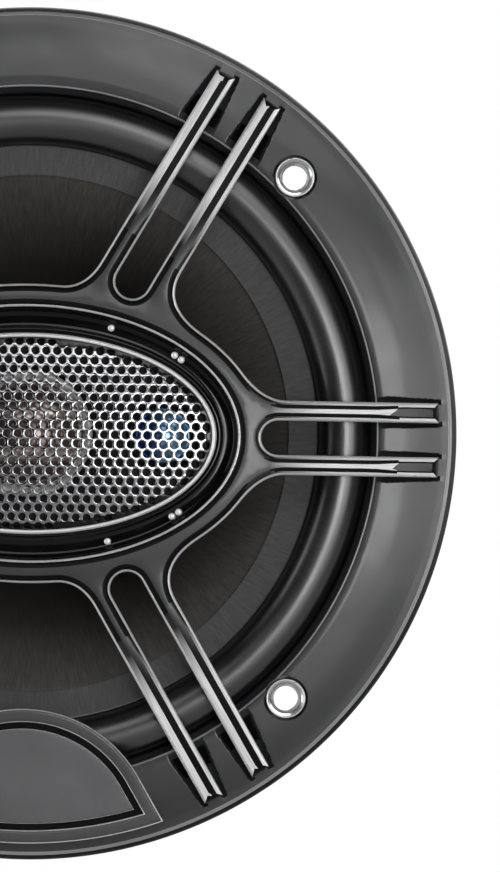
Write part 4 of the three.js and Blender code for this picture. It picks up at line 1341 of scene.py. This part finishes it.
def make_terminals():
    board = rounded([(-10, -7, 1), (10, -7, 1), (10, 7, 1), (-10, 7, 1)])
    board_piece("terminal_board_plate", board, 1.55, 3.15, "phenolic", "phenolic", "terminal_board")
    for name, x, width in (("positive", -5.5, 4.8), ("negative", 5.5, 2.8)):
        a, z = x - 2.6, 3.3
        profile = [(a, z), (a + 5.2, z), (a + 5.2, z + 0.8), (a + 0.8, z + 0.8), (a + 0.8, z + 8), (a, z + 8)]
        blade = f"terminal_{name}"
        half = width / 2
        board_piece(f"{blade}_blade", profile, -half, half, "tin", "tinned_brass", blade, turned=True)
        turns = np.linspace(0, 2 * math.pi, 33)[:-1]
        head = [(x + 0.6 + 1.1 * math.cos(t), 1.1 * math.sin(t)) for t in turns]
        board_piece(f"{blade}_rivet_head", head, 4.25, 4.95, "zinc", "zinc_steel", f"{blade}_rivet")


def make_leads():
    shape = tube([in_leg_plane(*p) for p in LEAD_ROUTE], 0.8, 14)
    build("tweeter_lead_wire", shape, "wire", CHASSIS, "wire_black", "tweeter_lead")
    for name, side in (("positive", 1), ("negative", -1)):
        route = [in_leg_plane(r, z, side * s) for r, z, s in TINSEL_ROUTE]
        lead = make_piece(f"tinsel_{name}_braid", *tube(route, 0.6, 12), "copper")
        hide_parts(f"tinsel_lead_{name}")
        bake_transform(lead)


make_terminals()
make_leads()

# ---------------------------------------------------------------- stage and light

LIGHTS = (
    # name, degrees off the camera's axis, clock direction, distance, width, height in metres, watts
    ("key", 13, 0, 1.2, 0.28, 0.28, 2.3),
    ("side", 30, 0, 1.1, 0.35, 0.5, 1.55),
    ("upper", 36, 62, 1.1, 0.55, 0.45, 1.6),
    ("top", 25, 95, 1.1, 0.5, 0.3, 1.0),
    ("left", 72, 180, 0.9, 0.6, 0.8, 5.0),
    ("rim_right", 105, 0, 0.9, 0.8, 1.2, 8.0),
    ("rim_left", 105, 180, 0.9, 0.8, 1.2, 8.0),
    ("rear", 145, 60, 1.1, 0.9, 0.9, 9.0),
    ("rear_low", 150, 215, 1.1, 0.7, 0.7, 4.0),
)


def make_light(name, off_axis, clock, distance, width, height, power):
    data = bpy.data.lights.new(f"light_{name}", "AREA")
    data.shape, data.size, data.size_y, data.energy = "RECTANGLE", width, height, power
    light = bpy.data.objects.new(f"light_{name}", data)
    bpy.context.scene.collection.objects.link(light)
    a, c = math.radians(off_axis), math.radians(clock)
    back = Vector((math.sin(a) * math.cos(c), -math.cos(a), math.sin(a) * math.sin(c)))
    light.location = back * distance
    light.rotation_euler = back.to_track_quat("Z", "Y").to_euler()
    light.visible_camera = False


def make_stage():
    mesh = bpy.data.meshes.new("floor")
    floor_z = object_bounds()[0].z - 0.11
    corners = ((-1.2, -1.2), (1.2, -1.2), (1.2, 1.2), (-1.2, 1.2))
    mesh.from_pydata([(x, y, floor_z) for x, y in corners], [], [(0, 1, 2, 3)])
    floor = bpy.data.objects.new("floor", mesh)
    bpy.context.scene.collection.objects.link(floor)
    finish = Finish("floor_paint", (0.4, 0.4, 0.4), 0.6, Emission_Color=(1, 1, 1, 1))
    finish.vary_color(finish.noise(4, 2), 0.01)
    path = finish.node("ShaderNodeLightPath")
    glow = finish.math("MULTIPLY", path.outputs["Is Camera Ray"], 0.7)
    finish.link(glow, finish.shader.inputs["Emission Strength"])
    mesh.materials.append(finish.material)
    world = bpy.data.worlds.new("studio")
    bpy.context.scene.world = world
    world.use_nodes = True
    tree = world.node_tree
    background = tree.nodes["Background"]
    background.inputs["Color"].default_value = (1, 1, 1, 1)
    coords = tree.nodes.new("ShaderNodeTexCoord")
    split = tree.nodes.new("ShaderNodeSeparateXYZ")
    shade = tree.nodes.new("ShaderNodeMapRange")
    shade.interpolation_type = "SMOOTHSTEP"
    for name, value in (("From Min", 0.0), ("From Max", 0.7), ("To Min", 0.0), ("To Max", 0.3)):
        shade.inputs[name].default_value = value
    path = tree.nodes.new("ShaderNodeLightPath")
    strength = tree.nodes.new("ShaderNodeMath")
    strength.operation = "MAXIMUM"
    tree.links.new(coords.outputs["Generated"], split.inputs[0])
    tree.links.new(split.outputs["Y"], shade.inputs["Value"])
    tree.links.new(path.outputs["Is Camera Ray"], strength.inputs[0])
    tree.links.new(shade.outputs["Result"], strength.inputs[1])
    tree.links.new(strength.outputs[0], background.inputs["Strength"])


make_stage()
for light in LIGHTS:
    make_light(*light)
bpy.context.scene.view_settings.view_transform = "Standard"
